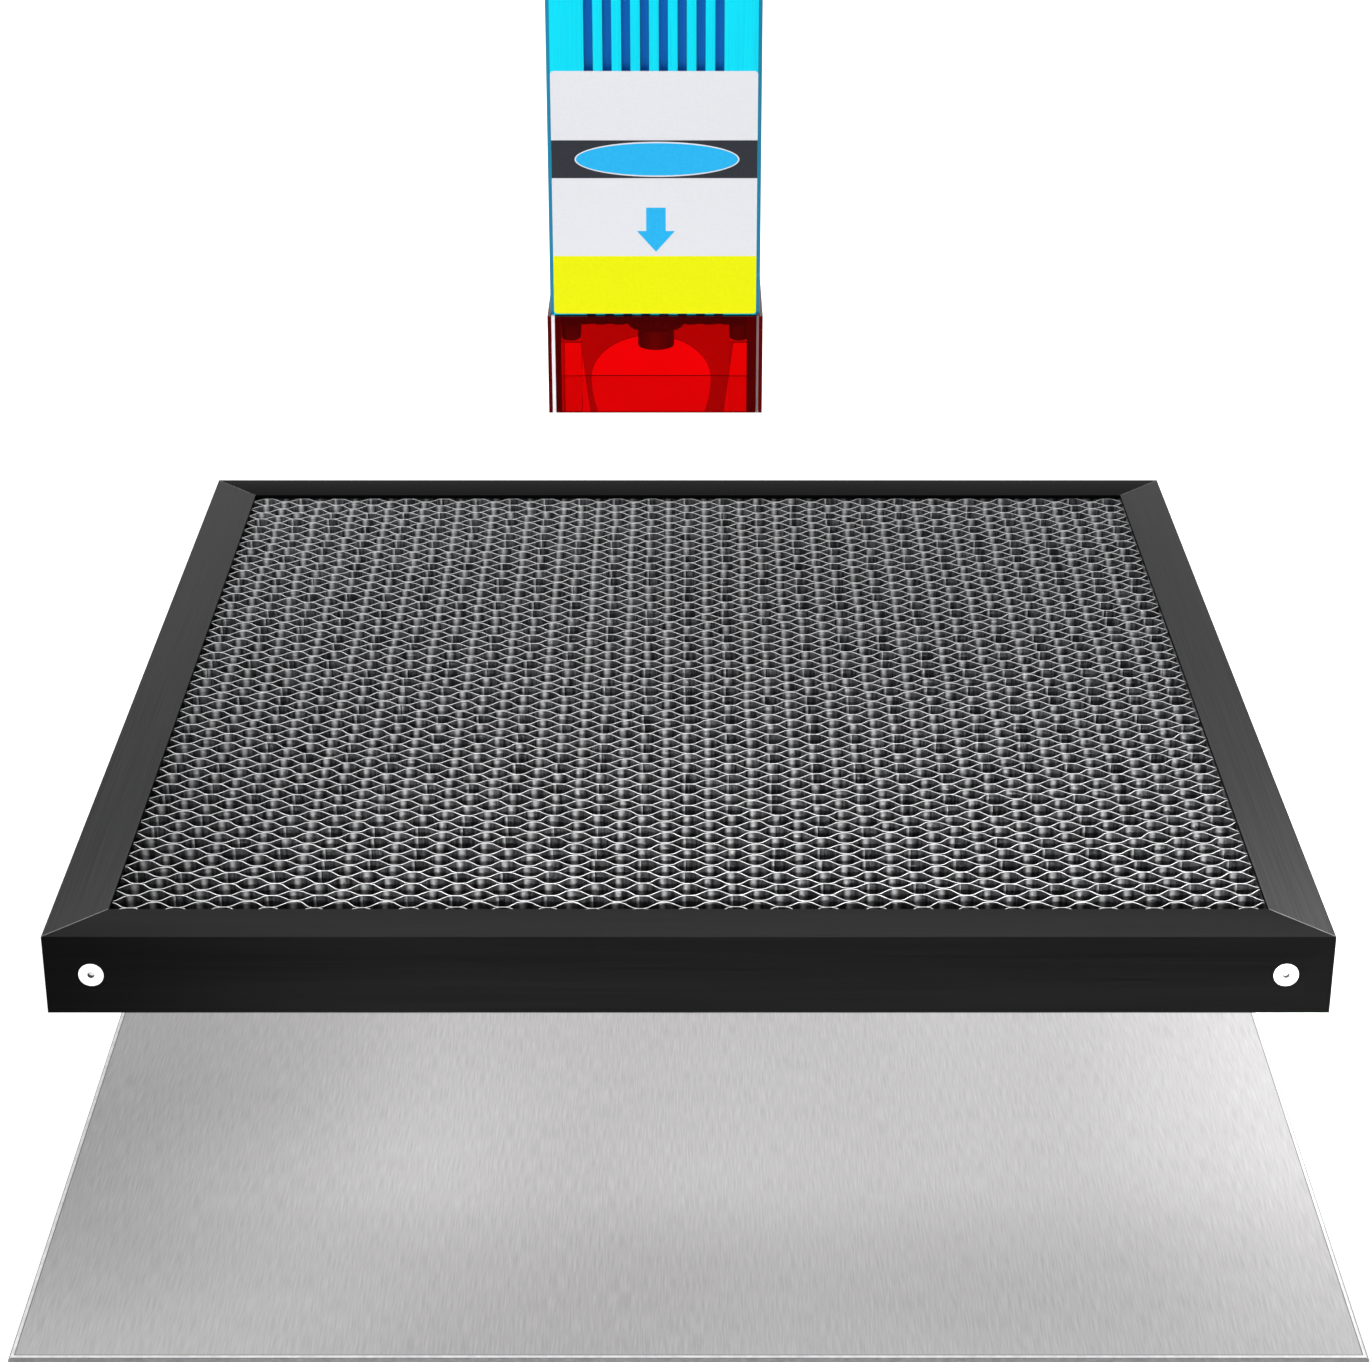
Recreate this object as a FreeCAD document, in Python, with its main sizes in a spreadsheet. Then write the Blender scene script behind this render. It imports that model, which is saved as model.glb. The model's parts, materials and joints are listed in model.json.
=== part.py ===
import FreeCAD, Part
import math
import os
import re
import Sketcher
from FreeCAD import Placement, Rotation, Vector

# Desktop laser cutter: an open portal frame of slotted beams, a honeycomb bed on a screw lift,
# a bright base plate under it, and a diode laser head on a belt-driven gantry.
# Millimetres. +X to the right, +Y to the back, +Z up, origin on the floor under the frame's middle.

doc = FreeCAD.newDocument("desktop_laser_cutter")

# ---------------------------------------------------------------- driving sizes

sizes = {
    # portal frame of slotted beams
    "frameWide": 688, "frameDeep": 530, "frameTall": 530,
    "beamThin": 20, "beamTall": 40,
    "slotMouth": 6.2, "slotLip": 1.8, "slotRoom": 11, "slotFloor": 5.4, "slotDeep": 6.1,
    "coreBore": 2.1, "capThick": 2,
    "footTall": 12, "footPad": 9.5, "footNeck": 5, "footPadTall": 5, "footSlope": 1,
    "bracketLeg": 18, "bracketWall": 4, "bracketRib": 2,
    "boltRadius": 2.5, "boltHead": 4.5, "boltHeadTop": 3.15, "boltHeadTall": 2.75, "boltLong": 9,
    "boltPlay": 0.2, "endBoltLong": 32,
    "bearerMid": 160,
    # how far a cutting tool stands past a face, or a joined lump runs into its neighbour
    "cutOver": 1,
    # base plate
    "plateWide": 414, "plateThick": 2, "plateEdge": 0.8,
    # honeycomb bed
    "bedWide": 400, "bedTall": 27, "bedRise": 83,
    "bedBarWide": 18, "bedWall": 1.6, "coreGrip": 5, "coreGap": 0.3,
    "cellLong": 29, "cellDeep": 14, "cellWall": 1.2,
    "bedScrewInset": 14.5, "bedScrewRadius": 2, "bedScrewHead": 4, "bedScrewLong": 10,
    "bedSocket": 1.1, "bedSocketDeep": 1.6, "cornerBlockLong": 17.4,
    # bed lift
    "liftRodMid": 90, "liftRodRadius": 5, "liftRodFoot": 12, "liftRodFootTall": 5,
    "liftScrewRadius": 4, "liftScrewHole": 6, "liftBack": 22, "liftMotorGap": 2,
    "forkWide": 210, "forkDeep": 32, "forkTall": 22, "forkDrop": 1, "armWide": 20, "armTall": 12,
    "armReach": 350, "bushRadius": 9.5, "bushFlange": 14, "bushFlangeTall": 2.5, "bushProud": 2,
    "liftCapGap": 3, "liftCapThick": 4, "liftCapDeep": 30,
    # motors, belts and pulleys
    "motorWide": 42, "motorLong": 40, "motorCorner": 4.5, "motorBore": 30,
    "spindle": 2.5, "runFit": 0.05,
    "toothRadius": 6.1, "toothCut": 0.6, "toothCount": 20,
    "flangeRadius": 8, "flangeThick": 1, "hubLong": 6,
    "beltWide": 6, "beltThick": 1.4, "beltFit": 0.15, "beltSide": 0.5,
    # rails and their blocks
    "railWide": 9, "railTall": 6.5, "railNotch": 0.8, "railNotchLow": 3.2, "railNotchTall": 1.4,
    "blockWide": 20, "blockLong": 40, "blockLow": 2, "blockTall": 8, "blockFit": 0.25,
    "yRailGap": 25,
    # Y drive
    "yMotorInset": 84, "yBeltInset": 13, "yShaftDrop": 22, "axleBracketThick": 5,
    "axleBracketDeep": 17, "axleBracketTall": 24,
    # gantry
    "gantryMid": 18, "endPlateLong": 119, "endPlateDeep": 50, "endPlateThick": 6,
    "xPulleyInset": 46, "xMotorGap": 2, "xBeamGap": 4, "xRailShortLeft": 5, "xRailShortRight": 10,
    "xRailDrop": 10, "clampWall": 2.6,
    # head carriage
    "headMid": -10.6, "carriageWide": 60, "carriageThick": 5, "carriageTall": 172,
    "carriageRise": 32, "lugDeep": 30, "lugTall": 10, "zRodMid": 20, "zRodRadius": 3,
    "zRodAhead": 17, "zScrewRadius": 3, "knobRadius": 11, "knobTall": 15, "knobEdge": 1,
    "knobFlutes": 18, "fluteRadius": 1.2, "sliderTall": 38, "sliderLift": 100, "sliderWide": 58,
    "sliderGap": 4,
    "clampTabWide": 20,
    # laser head
    "headWide": 66.4, "headDeep": 56, "headLift": 7.5, "headTall": 142.5, "headFrontGap": 88.5,
    "headWall": 5, "headFloor": 8.5, "headCorner": 1.2,
    "grooveCount": 8, "grooveWide": 2.6, "groovePitch": 5.76, "grooveDeep": 3,
    "sideGrooveCount": 6, "sideGroovePitch": 6.4,
    "labelWide": 63.9, "labelTall": 77.3, "labelThick": 0.8, "labelLift": 4,
    "diodeWide": 24, "diodeTall": 40, "nozzleRadius": 5.9, "nozzleDrop": 15.5, "nozzleBore": 3.5,
    "nozzleBoreDeep": 14, "ringRadius": 9, "ringTall": 8, "ringGap": 0.5, "ringFlutes": 24,
    "coverTall": 20, "fanRadius": 22.5, "fanTip": 21, "fanHub": 9, "fanTall": 9, "fanPin": 1.5,
    "fanPinTall": 7, "fanGap": 0.5, "guardBar": 2, "guardRing": 13, "bladeCount": 7,
    "bladeThick": 1.2, "bladeTilt": 35, "bladeWide": 9, "bladeRoot": 2,
    # laser shield
    "shieldWall": 1.6, "shieldProud": 0.95, "shieldOver": 3.2, "shieldFrontTall": 32.3,
    "shieldBackDrop": 19.1,
    "shieldFit": 0.1, "windowWide": 39, "windowTall": 27.5,
    "magnetRadius": 3.2, "magnetTall": 5, "magnetInset": 2.6, "magnetGap": 0.3, "postSink": 0.2,
    # control box
    "boxWide": 88, "boxDeep": 74, "boxTall": 52, "boxWall": 2, "lidThick": 2.5, "boxLift": 2,
    "boardThick": 1.6, "boardPost": 5, "boardPostRadius": 3, "boardMargin": 3,
    "boardPostInset": 14, "boardPostBack": 20, "chipBack": 29.6, "chipWide": 18, "chipTall": 3,
    "driverWide": 10, "driverDeep": 14, "driverTall": 6,
    "jackWide": 12, "jackTall": 10, "jackMid": 20, "jackWall": 2, "socketFit": 0.4,
    "rockerWide": 14, "rockerDeep": 20, "rockerTall": 8, "rockerHorn": 1, "rockerDip": 0.5,
    "rockerTilt": 9, "rockerFit": 0.8, "rockerPin": 1.2, "pinShort": 0.3,
    "bezelWall": 1.5, "bezelTall": 2.5,
    "buttonRadius": 12, "buttonTall": 8, "buttonEdge": 2, "buttonStem": 6, "buttonRise": 6,
    "stemLong": 12,
}

sheet = doc.addObject("Spreadsheet::Sheet", "sizes")
for row, (word, value) in enumerate(sizes.items(), start=1):
    sheet.set("A%d" % row, word)
    sheet.set("B%d" % row, str(value))
    sheet.setAlias("B%d" % row, word)
doc.recompute()

places = doc.addObject("App::VarSet", "places")
placeNames = []


def spelled(text):
    """Spells an expression in the sheet's sizes and the derived places."""
    def owner(match):
        word = match.group(0)
        if word in sizes:
            return "sizes." + word
        return "places." + word if word in placeNames else word
    return re.sub(r"[A-Za-z]\w*", owner, str(text))


def number(text):
    return float(sheet.evalExpression(spelled(text)))


def derive(word, text):
    """Adds one place that follows from the sizes."""
    places.addProperty("App::PropertyFloat", word)
    places.setExpression(word, spelled(text))
    placeNames.append(word)


# ---------------------------------------------------------------- derived places

for word, text in (
        ("sideMid", "frameWide/2 - beamThin/2"),
        ("sideIn", "frameWide/2 - beamThin"),
        ("frontIn", "frameDeep/2 - beamThin"),
        ("baseTop", "footTall + beamTall"),
        ("bearerTop", "baseTop + beamThin"),
        ("plateTop", "bearerTop + plateThick"),
        ("topLow", "frameTall - beamTall"),
        ("postIn", "frameDeep/2 - beamTall"),
        ("bedLow", "plateTop + bedRise"),
        ("bedTop", "bedLow + bedTall"),
        ("liftY", "frontIn - liftMotorGap - motorWide/2"),
        ("bedDeep", "2*(liftY - liftBack)"),
        ("coreLow", "bedLow + bedWall"),
        ("coreTall", "bedTall - 2*bedWall"),
        ("coreWide", "bedWide - 2*bedBarWide + 2*coreGrip"),
        ("coreDeep", "bedDeep - 2*bedBarWide + 2*coreGrip"),
        ("forkTop", "bedLow + forkDrop"),
        ("forkLow", "forkTop - forkTall"),
        ("bushTop", "forkTop + bushProud"),
        ("liftCapLow", "bushTop + liftCapGap"),
        ("liftCapTop", "liftCapLow + liftCapThick"),
        ("yShaftY", "frontIn - motorWide/2"),
        ("yShaftZ", "frameTall - yShaftDrop"),
        ("yBeltMid", "sideIn - yBeltInset"),
        ("yMotorMid", "sideIn - yMotorInset"),
        ("yRailHalf", "postIn - yRailGap"),
        ("beltInner", "toothRadius + beltFit"),
        ("beltOuter", "beltInner + beltThick"),
        ("pulleyRoom", "beltWide + 2*beltSide"),
        ("blockOut", "blockLow + blockTall"),
        ("endPlateTop", "topLow - blockOut"),
        ("gantryTop", "endPlateTop - endPlateThick"),
        ("gantryLow", "gantryTop - beamTall"),
        ("gantryFront", "gantryMid - beamThin/2"),
        ("xRailZ", "gantryTop - xRailDrop"),
        ("xBeltLow", "endPlateTop + flangeThick + 2*beltSide"),
        ("xPulleyMid", "sideIn - xPulleyInset"),
        ("xBeamLeft", "xPulleyMid - motorWide/2 - xMotorGap"),
        ("xBeamRight", "sideIn - xBeamGap"),
        ("xRailLeft", "xBeamLeft - xRailShortLeft"),
        ("xRailRight", "xBeamRight - xRailShortRight"),
        ("carriageBack", "gantryFront - blockOut"),
        ("carriageFront", "carriageBack - carriageThick"),
        ("carriageTop", "endPlateTop + carriageRise"),
        ("carriageLow", "carriageTop - carriageTall"),
        ("sliderLow", "carriageLow + sliderLift"),
        ("headLow", "carriageLow + headLift"),
        ("zRodY", "carriageFront - zRodAhead"),
        ("headFront", "carriageFront - headFrontGap"),
        ("headBack", "headFront + headDeep"),
        ("headTop", "headLow + headTall"),
        ("headY", "headFront + headDeep/2"),
        ("rimInset", "shieldWall + shieldFit - shieldProud"),
        ("shieldWide", "headWide + 2*shieldProud"),
        ("shieldDeep", "headDeep + 2*shieldProud"),
        ("shieldFront", "headFront - shieldProud"),
        ("shieldTop", "headLow + shieldOver"),
        ("boxLow", "footTall + boxLift"),
        ("boxTop", "boxLow + boxTall"),
        ("boxLeft", "sideIn - boxWide"),
        ("boxFront", "0 - frontIn"),
        ("boxBack", "boxFront + boxDeep"),
        ("boardLow", "boxLow + boxWall + boardPost"),
        ("rockerX", "boxLeft + boxWide/4"),
        ("buttonX", "boxLeft + boxWide*2/3"),
        ("panelY", "boxFront + boxDeep/2")):
    derive(word, text)
doc.recompute()


# ---------------------------------------------------------------- shape helpers

turns = {
    "x": Rotation(Vector(0, 1, 0), 90),
    "y": Rotation(Vector(1, 0, 0), -90),
    "z": Rotation(),
}
subparts = []


def bind(piece, prop, text):
    piece.setExpression(prop, spelled(text))


def put(piece, x="0", y="0", z="0", turn=None):
    piece.Placement = Placement(Vector(), turn or Rotation())
    for axis, text in zip("xyz", (x, y, z)):
        bind(piece, "Placement.Base." + axis, text)
    return piece


def block(name, x, y, z, wide, deep, tall):
    """A box from its low corner."""
    piece = doc.addObject("Part::Box", name)
    for prop, text in (("Length", wide), ("Width", deep), ("Height", tall)):
        bind(piece, prop, text)
    return put(piece, x, y, z)


def middled(name, midX, midY, z, wide, deep, tall):
    """A box centred in plan on a point."""
    return block(name, f"{midX} - ({wide})/2", f"{midY} - ({deep})/2", z, wide, deep, tall)


def rod(name, axis, x, y, z, radius, length):
    """A cylinder that starts at a point and runs along +axis."""
    piece = doc.addObject("Part::Cylinder", name)
    bind(piece, "Radius", radius)
    bind(piece, "Height", length)
    return put(piece, x, y, z, turns[axis])


def fuse(name, *pieces):
    whole = doc.addObject("Part::MultiFuse", name)
    whole.Shapes = list(pieces)
    whole.Refine = True
    return whole


def cut(name, base, *tools):
    piece = doc.addObject("Part::Cut", name)
    piece.Base = base
    piece.Tool = tools[0] if len(tools) == 1 else fuse(name + "_tools", *tools)
    return piece


def group(name, pieces):
    whole = doc.addObject("Part::Compound", name)
    whole.Links = list(pieces)
    return whole


def mirror(piece, *axes):
    """The piece's mirror image in the frame's middle plane across each axis."""
    for axis in axes:
        image = doc.addObject("Part::Mirroring", piece.Name + "_" + axis)
        image.Source = piece
        image.Normal = Vector(*(float(axis == other) for other in "xyz"))
        piece = image
    return piece


def both(piece, axis="x"):
    return [piece, mirror(piece, axis)]


def four(piece):
    return [piece, mirror(piece, "x"), mirror(piece, "y"), mirror(piece, "x", "y")]


def planeOf(body, role):
    return next(item for item in body.Origin.OriginFeatures if item.Role == role)


def sketchOn(body, name, plane, start="0"):
    """A sketch on one of the body's own planes, moved along the plane's normal."""
    sketch = body.newObject("Sketcher::SketchObject", name)
    sketch.AttachmentSupport = [(planeOf(body, plane + "_Plane"), "")]
    sketch.MapMode = "FlatFace"
    sign = "0 - " if plane == "XZ" else ""
    bind(sketch, "AttachmentOffset.Base.z", f"{sign}({start})")
    return sketch


def drawOutline(sketch, corners):
    """A closed straight-edged outline, each corner held at two expressions."""
    points = [Vector(number(across), number(up), 0) for across, up in corners]
    count = len(points)
    first = len(sketch.Geometry)
    sketch.addGeometry([Part.LineSegment(points[i], points[(i + 1) % count]) for i in range(count)])
    sketch.addConstraint([Sketcher.Constraint("Coincident", first + i, 2, first + (i + 1) % count, 1)
                          for i in range(count)])
    held = len(sketch.Constraints)
    for i, point in enumerate(points):
        sketch.addConstraint(Sketcher.Constraint("DistanceX", -1, 1, first + i, 1, point.x))
        sketch.addConstraint(Sketcher.Constraint("DistanceY", -1, 1, first + i, 1, point.y))
    for i, (across, up) in enumerate(corners):
        bind(sketch, "Constraints[%d]" % (held + 2*i), across)
        bind(sketch, "Constraints[%d]" % (held + 2*i + 1), up)


def drawCircle(sketch, across, up, radius):
    index = len(sketch.Geometry)
    middle = Vector(number(across), number(up), 0)
    sketch.addGeometry(Part.Circle(middle, Vector(0, 0, 1), number(radius)))
    for kind, value in (("DistanceX", middle.x), ("DistanceY", middle.y)):
        sketch.addConstraint(Sketcher.Constraint(kind, -1, 1, index, 3, value))
    sketch.addConstraint(Sketcher.Constraint("Radius", index, number(radius)))
    for back, text in ((3, across), (2, up), (1, radius)):
        bind(sketch, "Constraints[%d]" % (len(sketch.Constraints) - back), text)


def newBody(name):
    return doc.addObject("PartDesign::Body", name)


def pad(name, plane, corners, start, length, circles=()):
    """A body padded from an outline with round holes, from start along the plane's +axis."""
    body = newBody(name)
    sketch = sketchOn(body, name + "_outline", plane, start)
    drawOutline(sketch, corners)
    for across, up, radius in circles:
        drawCircle(sketch, across, up, radius)
    feature = body.newObject("PartDesign::Pad", name + "_pad")
    feature.Profile = sketch
    bind(feature, "Length", length)
    feature.Reversed = plane == "XZ"
    sketch.Visibility = False
    return body


def pocket(body, name, plane, corners, start, length):
    """Cuts an outline out of a body, from start along the plane's -axis."""
    sketch = sketchOn(body, name + "_outline", plane, start)
    drawOutline(sketch, corners)
    feature = body.newObject("PartDesign::Pocket", name)
    feature.Profile = sketch
    bind(feature, "Length", length)
    return feature


def turned(name, profile, x="0", y="0", z="0", turn=None):
    """A body of revolution about its own Z axis, from an outline of radius and height."""
    body = newBody(name)
    sketch = sketchOn(body, name + "_profile", "XZ")
    drawOutline(sketch, profile)
    feature = body.newObject("PartDesign::Revolution", name + "_turned")
    feature.Profile = sketch
    feature.ReferenceAxis = (sketch, ["V_Axis"])
    feature.Angle = 360
    return put(body, x, y, z, turn)


def flute(body, name, radius, depth, low, tall, count):
    """Cuts a ring of small round flutes into the body's rim."""
    sketch = sketchOn(body, name + "_circle", "XY", low)
    drawCircle(sketch, radius, "0", depth)
    first = body.newObject("PartDesign::Pocket", name)
    first.Profile = sketch
    first.Reversed = True
    bind(first, "Length", tall)
    ring = body.newObject("PartDesign::PolarPattern", name + "_ring")
    ring.Originals = [first]
    ring.Axis = (sketch, ["N_Axis"])
    ring.Angle = 360
    bind(ring, "Occurrences", count)
    body.Tip = ring


def rectangle(left, right, low, high):
    return [(left, low), (right, low), (right, high), (left, high)]


def named(label, piece):
    """Makes a piece the sub-part of that name."""
    piece.Label = label
    subparts.append(piece)
    return piece


# ---------------------------------------------------------------- portal frame

def slotCorners(middle, edge, inward):
    """One T-slot in a side: distances along the side and out from the beam's middle."""
    steps = (("0 - slotMouth/2", "0"), ("0 - slotMouth/2", "slotLip"), ("0 - slotRoom/2", "slotLip"),
             ("0 - slotFloor/2", "slotDeep"), ("slotFloor/2", "slotDeep"), ("slotRoom/2", "slotLip"),
             ("slotMouth/2", "slotLip"), ("slotMouth/2", "0"))
    return [(f"{middle} + ({inward}*({along}))", f"{edge} - ({depth})") for along, depth in steps]


def beamCorners(rows):
    """The outline of a slotted beam one or two cells tall, centred on the origin."""
    half, tall = "beamThin/2", "beamThin/2" if rows == 1 else "beamTall/2"
    mids = ["0"] if rows == 1 else ["0 - beamTall/4", "beamTall/4"]
    corners = [(f"0 - {half}", f"0 - {tall}")]
    corners += [(along, f"0 - ({out})") for along, out in slotCorners("0", tall, 1)]
    corners += [(half, f"0 - {tall}")]
    for middle in mids:
        corners += [(out, along) for along, out in slotCorners(middle, half, 1)]
    corners += [(half, tall)]
    corners += slotCorners("0", tall, -1)
    corners += [(f"0 - {half}", tall)]
    for middle in reversed(mids):
        corners += [(f"0 - ({out})", along) for along, out in slotCorners(middle, half, -1)]
    return corners


beamTurns = {
    "x": Rotation(Vector(0, 1, 0), Vector(0, 0, 1), Vector(1, 0, 0), "ZXY"),
    "y": Rotation(Vector(-1, 0, 0), Vector(0, 0, 1), Vector(0, 1, 0), "ZXY"),
    "z": Rotation(),
}


def beam(name, axis, x, y, z, length, rows=2):
    """A slotted beam from the middle of its low end, its tall side upright or, in a post, along Y."""
    mids = ["0"] if rows == 1 else ["0 - beamTall/4", "beamTall/4"]
    body = pad(name, "XY", beamCorners(rows), "0", length, [("0", mid, "coreBore") for mid in mids])
    return put(body, x, y, z, beamTurns[axis])


def cap(name, axis, x, y, z, rows=2):
    """A moulded cap on a beam's end, from the cap's low corner."""
    tall = "beamThin" if rows == 1 else "beamTall"
    wide, deep = ("capThick", "beamThin") if axis == "x" else ("beamThin", "capThick")
    return block(name, x, y, z, wide, deep, tall)


def endDrilled(name, low, solid):
    """A cross beam drilled for the two screws that enter each side rail's end."""
    holes = []
    for tag, level in (("a", f"{low} + beamTall/4"), ("b", f"{low} + beamTall*3/4")):
        holes += both(rod(f"{name}_hole_{tag}", "y", "sideMid", "0 - frameDeep/2 - cutOver",
                          level, "boltRadius + boltPlay", "beamThin + 2*cutOver"))
    return cut(name, solid, *holes)


def makeBeams():
    low, top = "footTall + beamTall/2", "topLow + beamTall/2"
    frontMid = "frameDeep/2 - beamThin/2"
    span = "frameWide - 2*capThick"
    start = "0 - frameWide/2 + capThick"
    named("front_base_beam", endDrilled("front_base_drilled", "footTall",
                                        beam("front_base", "x", start, f"0 - ({frontMid})", low, span)))
    sideRail = beam("side_base", "y", "sideMid", "0 - frontIn", low, "frontIn + frameDeep/2 - capThick")
    named("side_base_rails", group("side_base_pair", both(sideRail)))
    named("rear_tie_beam", beam("rear_tie", "x", "0 - plateWide/2 + capThick", frontMid, low,
                                "plateWide - 2*capThick"))
    bearer = beam("bearer", "y", "bearerMid", "0 - frameDeep/2 + capThick", "baseTop + beamThin/2",
                  "frameDeep - 2*capThick", rows=1)
    named("plate_bearers", group("bearer_pair", both(bearer)))
    post = beam("post", "z", "sideMid", "0 - frameDeep/2 + beamTall/2", "baseTop", "topLow - baseTop")
    named("corner_posts", group("post_set", four(post)))
    topRail = beam("side_top", "y", "sideMid", "0 - frontIn", top, "2*frontIn")
    named("side_top_rails", group("side_top_pair", both(topRail)))
    crossBeam = endDrilled("cross_top_drilled", "topLow",
                           beam("cross_top", "x", start, f"0 - ({frontMid})", top, span))
    named("cross_top_beams", group("cross_top_pair", both(crossBeam, "y")))


def makeCaps():
    outer = "frameWide/2 - capThick"
    back = "frameDeep/2 - capThick"
    front = "0 - frameDeep/2"
    caps = both(cap("cap_front", "x", outer, front, "footTall"))
    caps += both(cap("cap_side", "y", "sideIn", back, "footTall"))
    caps += both(cap("cap_tie", "x", "plateWide/2 - capThick", "frontIn", "footTall"))
    caps += four(cap("cap_top", "x", outer, front, "topLow"))
    caps += four(cap("cap_bearer", "y", "bearerMid - beamThin/2", front, "baseTop", rows=1))
    named("beam_end_caps", group("cap_set", caps))


def foot(name, x, y):
    profile = [("0", "0"), ("footPad", "0"), ("footPad", "footPadTall"),
               ("footNeck", "footPadTall + footSlope"), ("footNeck", "footTall"), ("0", "footTall")]
    return turned(name, profile, x, y)


def makeFeet():
    feet = both(foot("foot_front", "sideMid", "0 - frameDeep/2 + beamThin/2"))
    feet += both(foot("foot_back", "sideMid", "postIn"))
    feet += both(foot("foot_tie", "bearerMid", "frameDeep/2 - beamThin/2"))
    named("levelling_feet", group("foot_set", feet))


def bracket(name, z, up):
    """A cast corner bracket behind a front post, with two ribs; up is 1 above z and -1 below."""
    def level(height):
        return f"{z} + {up}*({height})"
    start = "0 - postIn"
    leg = [(start, level("0")), (f"{start} + bracketLeg", level("0")),
           (f"{start} + bracketLeg", level("bracketWall")),
           (f"{start} + bracketWall", level("bracketWall")),
           (f"{start} + bracketWall", level("bracketLeg")), (start, level("bracketLeg"))]
    rib = [(f"{start} + bracketWall/2", level("bracketWall/2")),
           (f"{start} + bracketLeg", level("bracketWall/2")),
           (f"{start} + bracketLeg", level("bracketWall")),
           (f"{start} + bracketWall", level("bracketLeg")),
           (f"{start} + bracketWall/2", level("bracketLeg"))]
    left = "sideMid - bracketLeg/2"
    solid = fuse(name + "_cast", pad(name + "_leg", "YZ", leg, left, "bracketLeg"),
                 pad(name + "_rib1", "YZ", rib, left, "bracketRib"),
                 pad(name + "_rib2", "YZ", rib, f"{left} + bracketLeg - bracketRib", "bracketRib"))
    middle = "(bracketLeg + bracketWall)/2"
    flat = rod(name + "_hole1", "z", "sideMid", f"{start} + {middle}", f"{z} - bracketWall - cutOver",
               "boltRadius + boltPlay", "2*(bracketWall + cutOver)")
    upright = rod(name + "_hole2", "y", "sideMid", f"{start} - cutOver", level(middle),
                  "boltRadius + boltPlay", "bracketWall + 2*cutOver")
    return cut(name, solid, flat, upright)


def bolt(name, x, y, z, turn, radius="boltRadius", length="boltLong"):
    """A button-head bolt whose head sits on the point and whose shank runs along the turned -Z."""
    profile = [("0", f"0 - {length}"), (radius, f"0 - {length}"), (radius, "0"),
               ("boltHead", "0"), ("boltHead", "boltHeadTall/2"), ("boltHeadTop", "boltHeadTall"),
               ("0", "boltHeadTall")]
    return turned(name, profile, x, y, z, turn)


def makeBrackets():
    brackets, bolts = [], []
    middle = "(bracketLeg + bracketWall)/2"
    backwards = Rotation(Vector(1, 0, 0), -90)
    down = Rotation(Vector(1, 0, 0), 180)
    for name, level, up, turn in (("low", "baseTop", "1", Rotation()), ("high", "topLow", "(0 - 1)", down)):
        brackets += four(bracket("bracket_" + name, level, up))
        bolts += four(bolt("bolt_flat_" + name, "sideMid", f"0 - postIn + {middle}",
                           f"{level} + {up}*bracketWall", turn))
        bolts += four(bolt("bolt_up_" + name, "sideMid", "0 - postIn + bracketWall",
                           f"{level} + {up}*{middle}", backwards))
    forwards = Rotation(Vector(1, 0, 0), 90)
    for name, share in (("a", "beamTall/4"), ("b", "beamTall*3/4")):
        for tag, low, copies in (("top", "topLow", four), ("base", "footTall", both)):
            bolts += copies(bolt(f"bolt_{tag}_{name}", "sideMid", "0 - frameDeep/2", f"{low} + {share}",
                                 forwards, "coreBore - runFit", "endBoltLong"))
    named("corner_brackets", group("bracket_set", brackets))
    named("frame_bolts", group("bolt_set", bolts))


def makePlate():
    """The bright base plate, its long edges rolled, with holes for the lift screw."""
    half, edge = "plateWide/2", "plateEdge"
    section = [(f"0 - {half}", "bearerTop"), (half, "bearerTop"), (half, f"plateTop - {edge}"),
               (f"{half} - {edge}", "plateTop"), (f"0 - {half} + {edge}", "plateTop"),
               (f"0 - {half}", f"plateTop - {edge}")]
    sheetMetal = pad("plate_sheet", "XZ", section, "0 - frameDeep/2", "frameDeep")
    hole = rod("plate_hole", "z", "0", "liftY", "bearerTop - cutOver", "liftScrewHole",
               "plateThick + 2*cutOver")
    named("base_plate", cut("plate", sheetMetal, hole))


# ---------------------------------------------------------------- honeycomb bed

def bedBar(name, width, depth, screwed):
    """The front bar of a bed of that width and depth: a C-section with both ends mitred."""
    face, inner = f"0 - {depth}/2", f"0 - {depth}/2 + bedBarWide"
    wall = "bedWall"
    section = [(face, "bedLow"), (inner, "bedLow"), (inner, f"bedLow + {wall}"),
               (f"{face} + {wall}", f"bedLow + {wall}"), (f"{face} + {wall}", f"bedTop - {wall}"),
               (inner, f"bedTop - {wall}"), (inner, "bedTop"), (face, "bedTop")]
    body = pad(name, "YZ", section, f"0 - {width}/2", width)
    for side, sign in (("left", "0 -"), ("right", "0 +")):
        corner = f"{sign} {width}/2"
        run = f"{sign} ({width}/2 - bedBarWide)"
        past = f"{inner} + cutOver"
        mitre = [(corner, face), (run, inner), (run, past), (corner, past)]
        pocket(body, f"{name}_mitre_{side}", "XY", mitre, "bedTop + cutOver", "bedTall + 2*cutOver")
    if not screwed:
        return body
    tools = []
    for side, sign in (("left", "0 -"), ("right", "0 +")):
        x = f"{sign} ({width}/2 - bedScrewInset)"
        tools.append(rod(f"{name}_hole_{side}", "y", x, f"{face} - cutOver", "bedLow + bedTall/2",
                         "bedScrewRadius + boltPlay", "bedWall + 2*cutOver"))
        sink = doc.addObject("Part::Cone", f"{name}_sink_{side}")
        bind(sink, "Radius1", "bedScrewHead")
        bind(sink, "Radius2", "bedScrewRadius")
        bind(sink, "Height", "bedWall")
        tools.append(put(sink, x, face, "bedLow + bedTall/2", turns["y"]))
    return cut(name + "_drilled", body, *tools)


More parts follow.
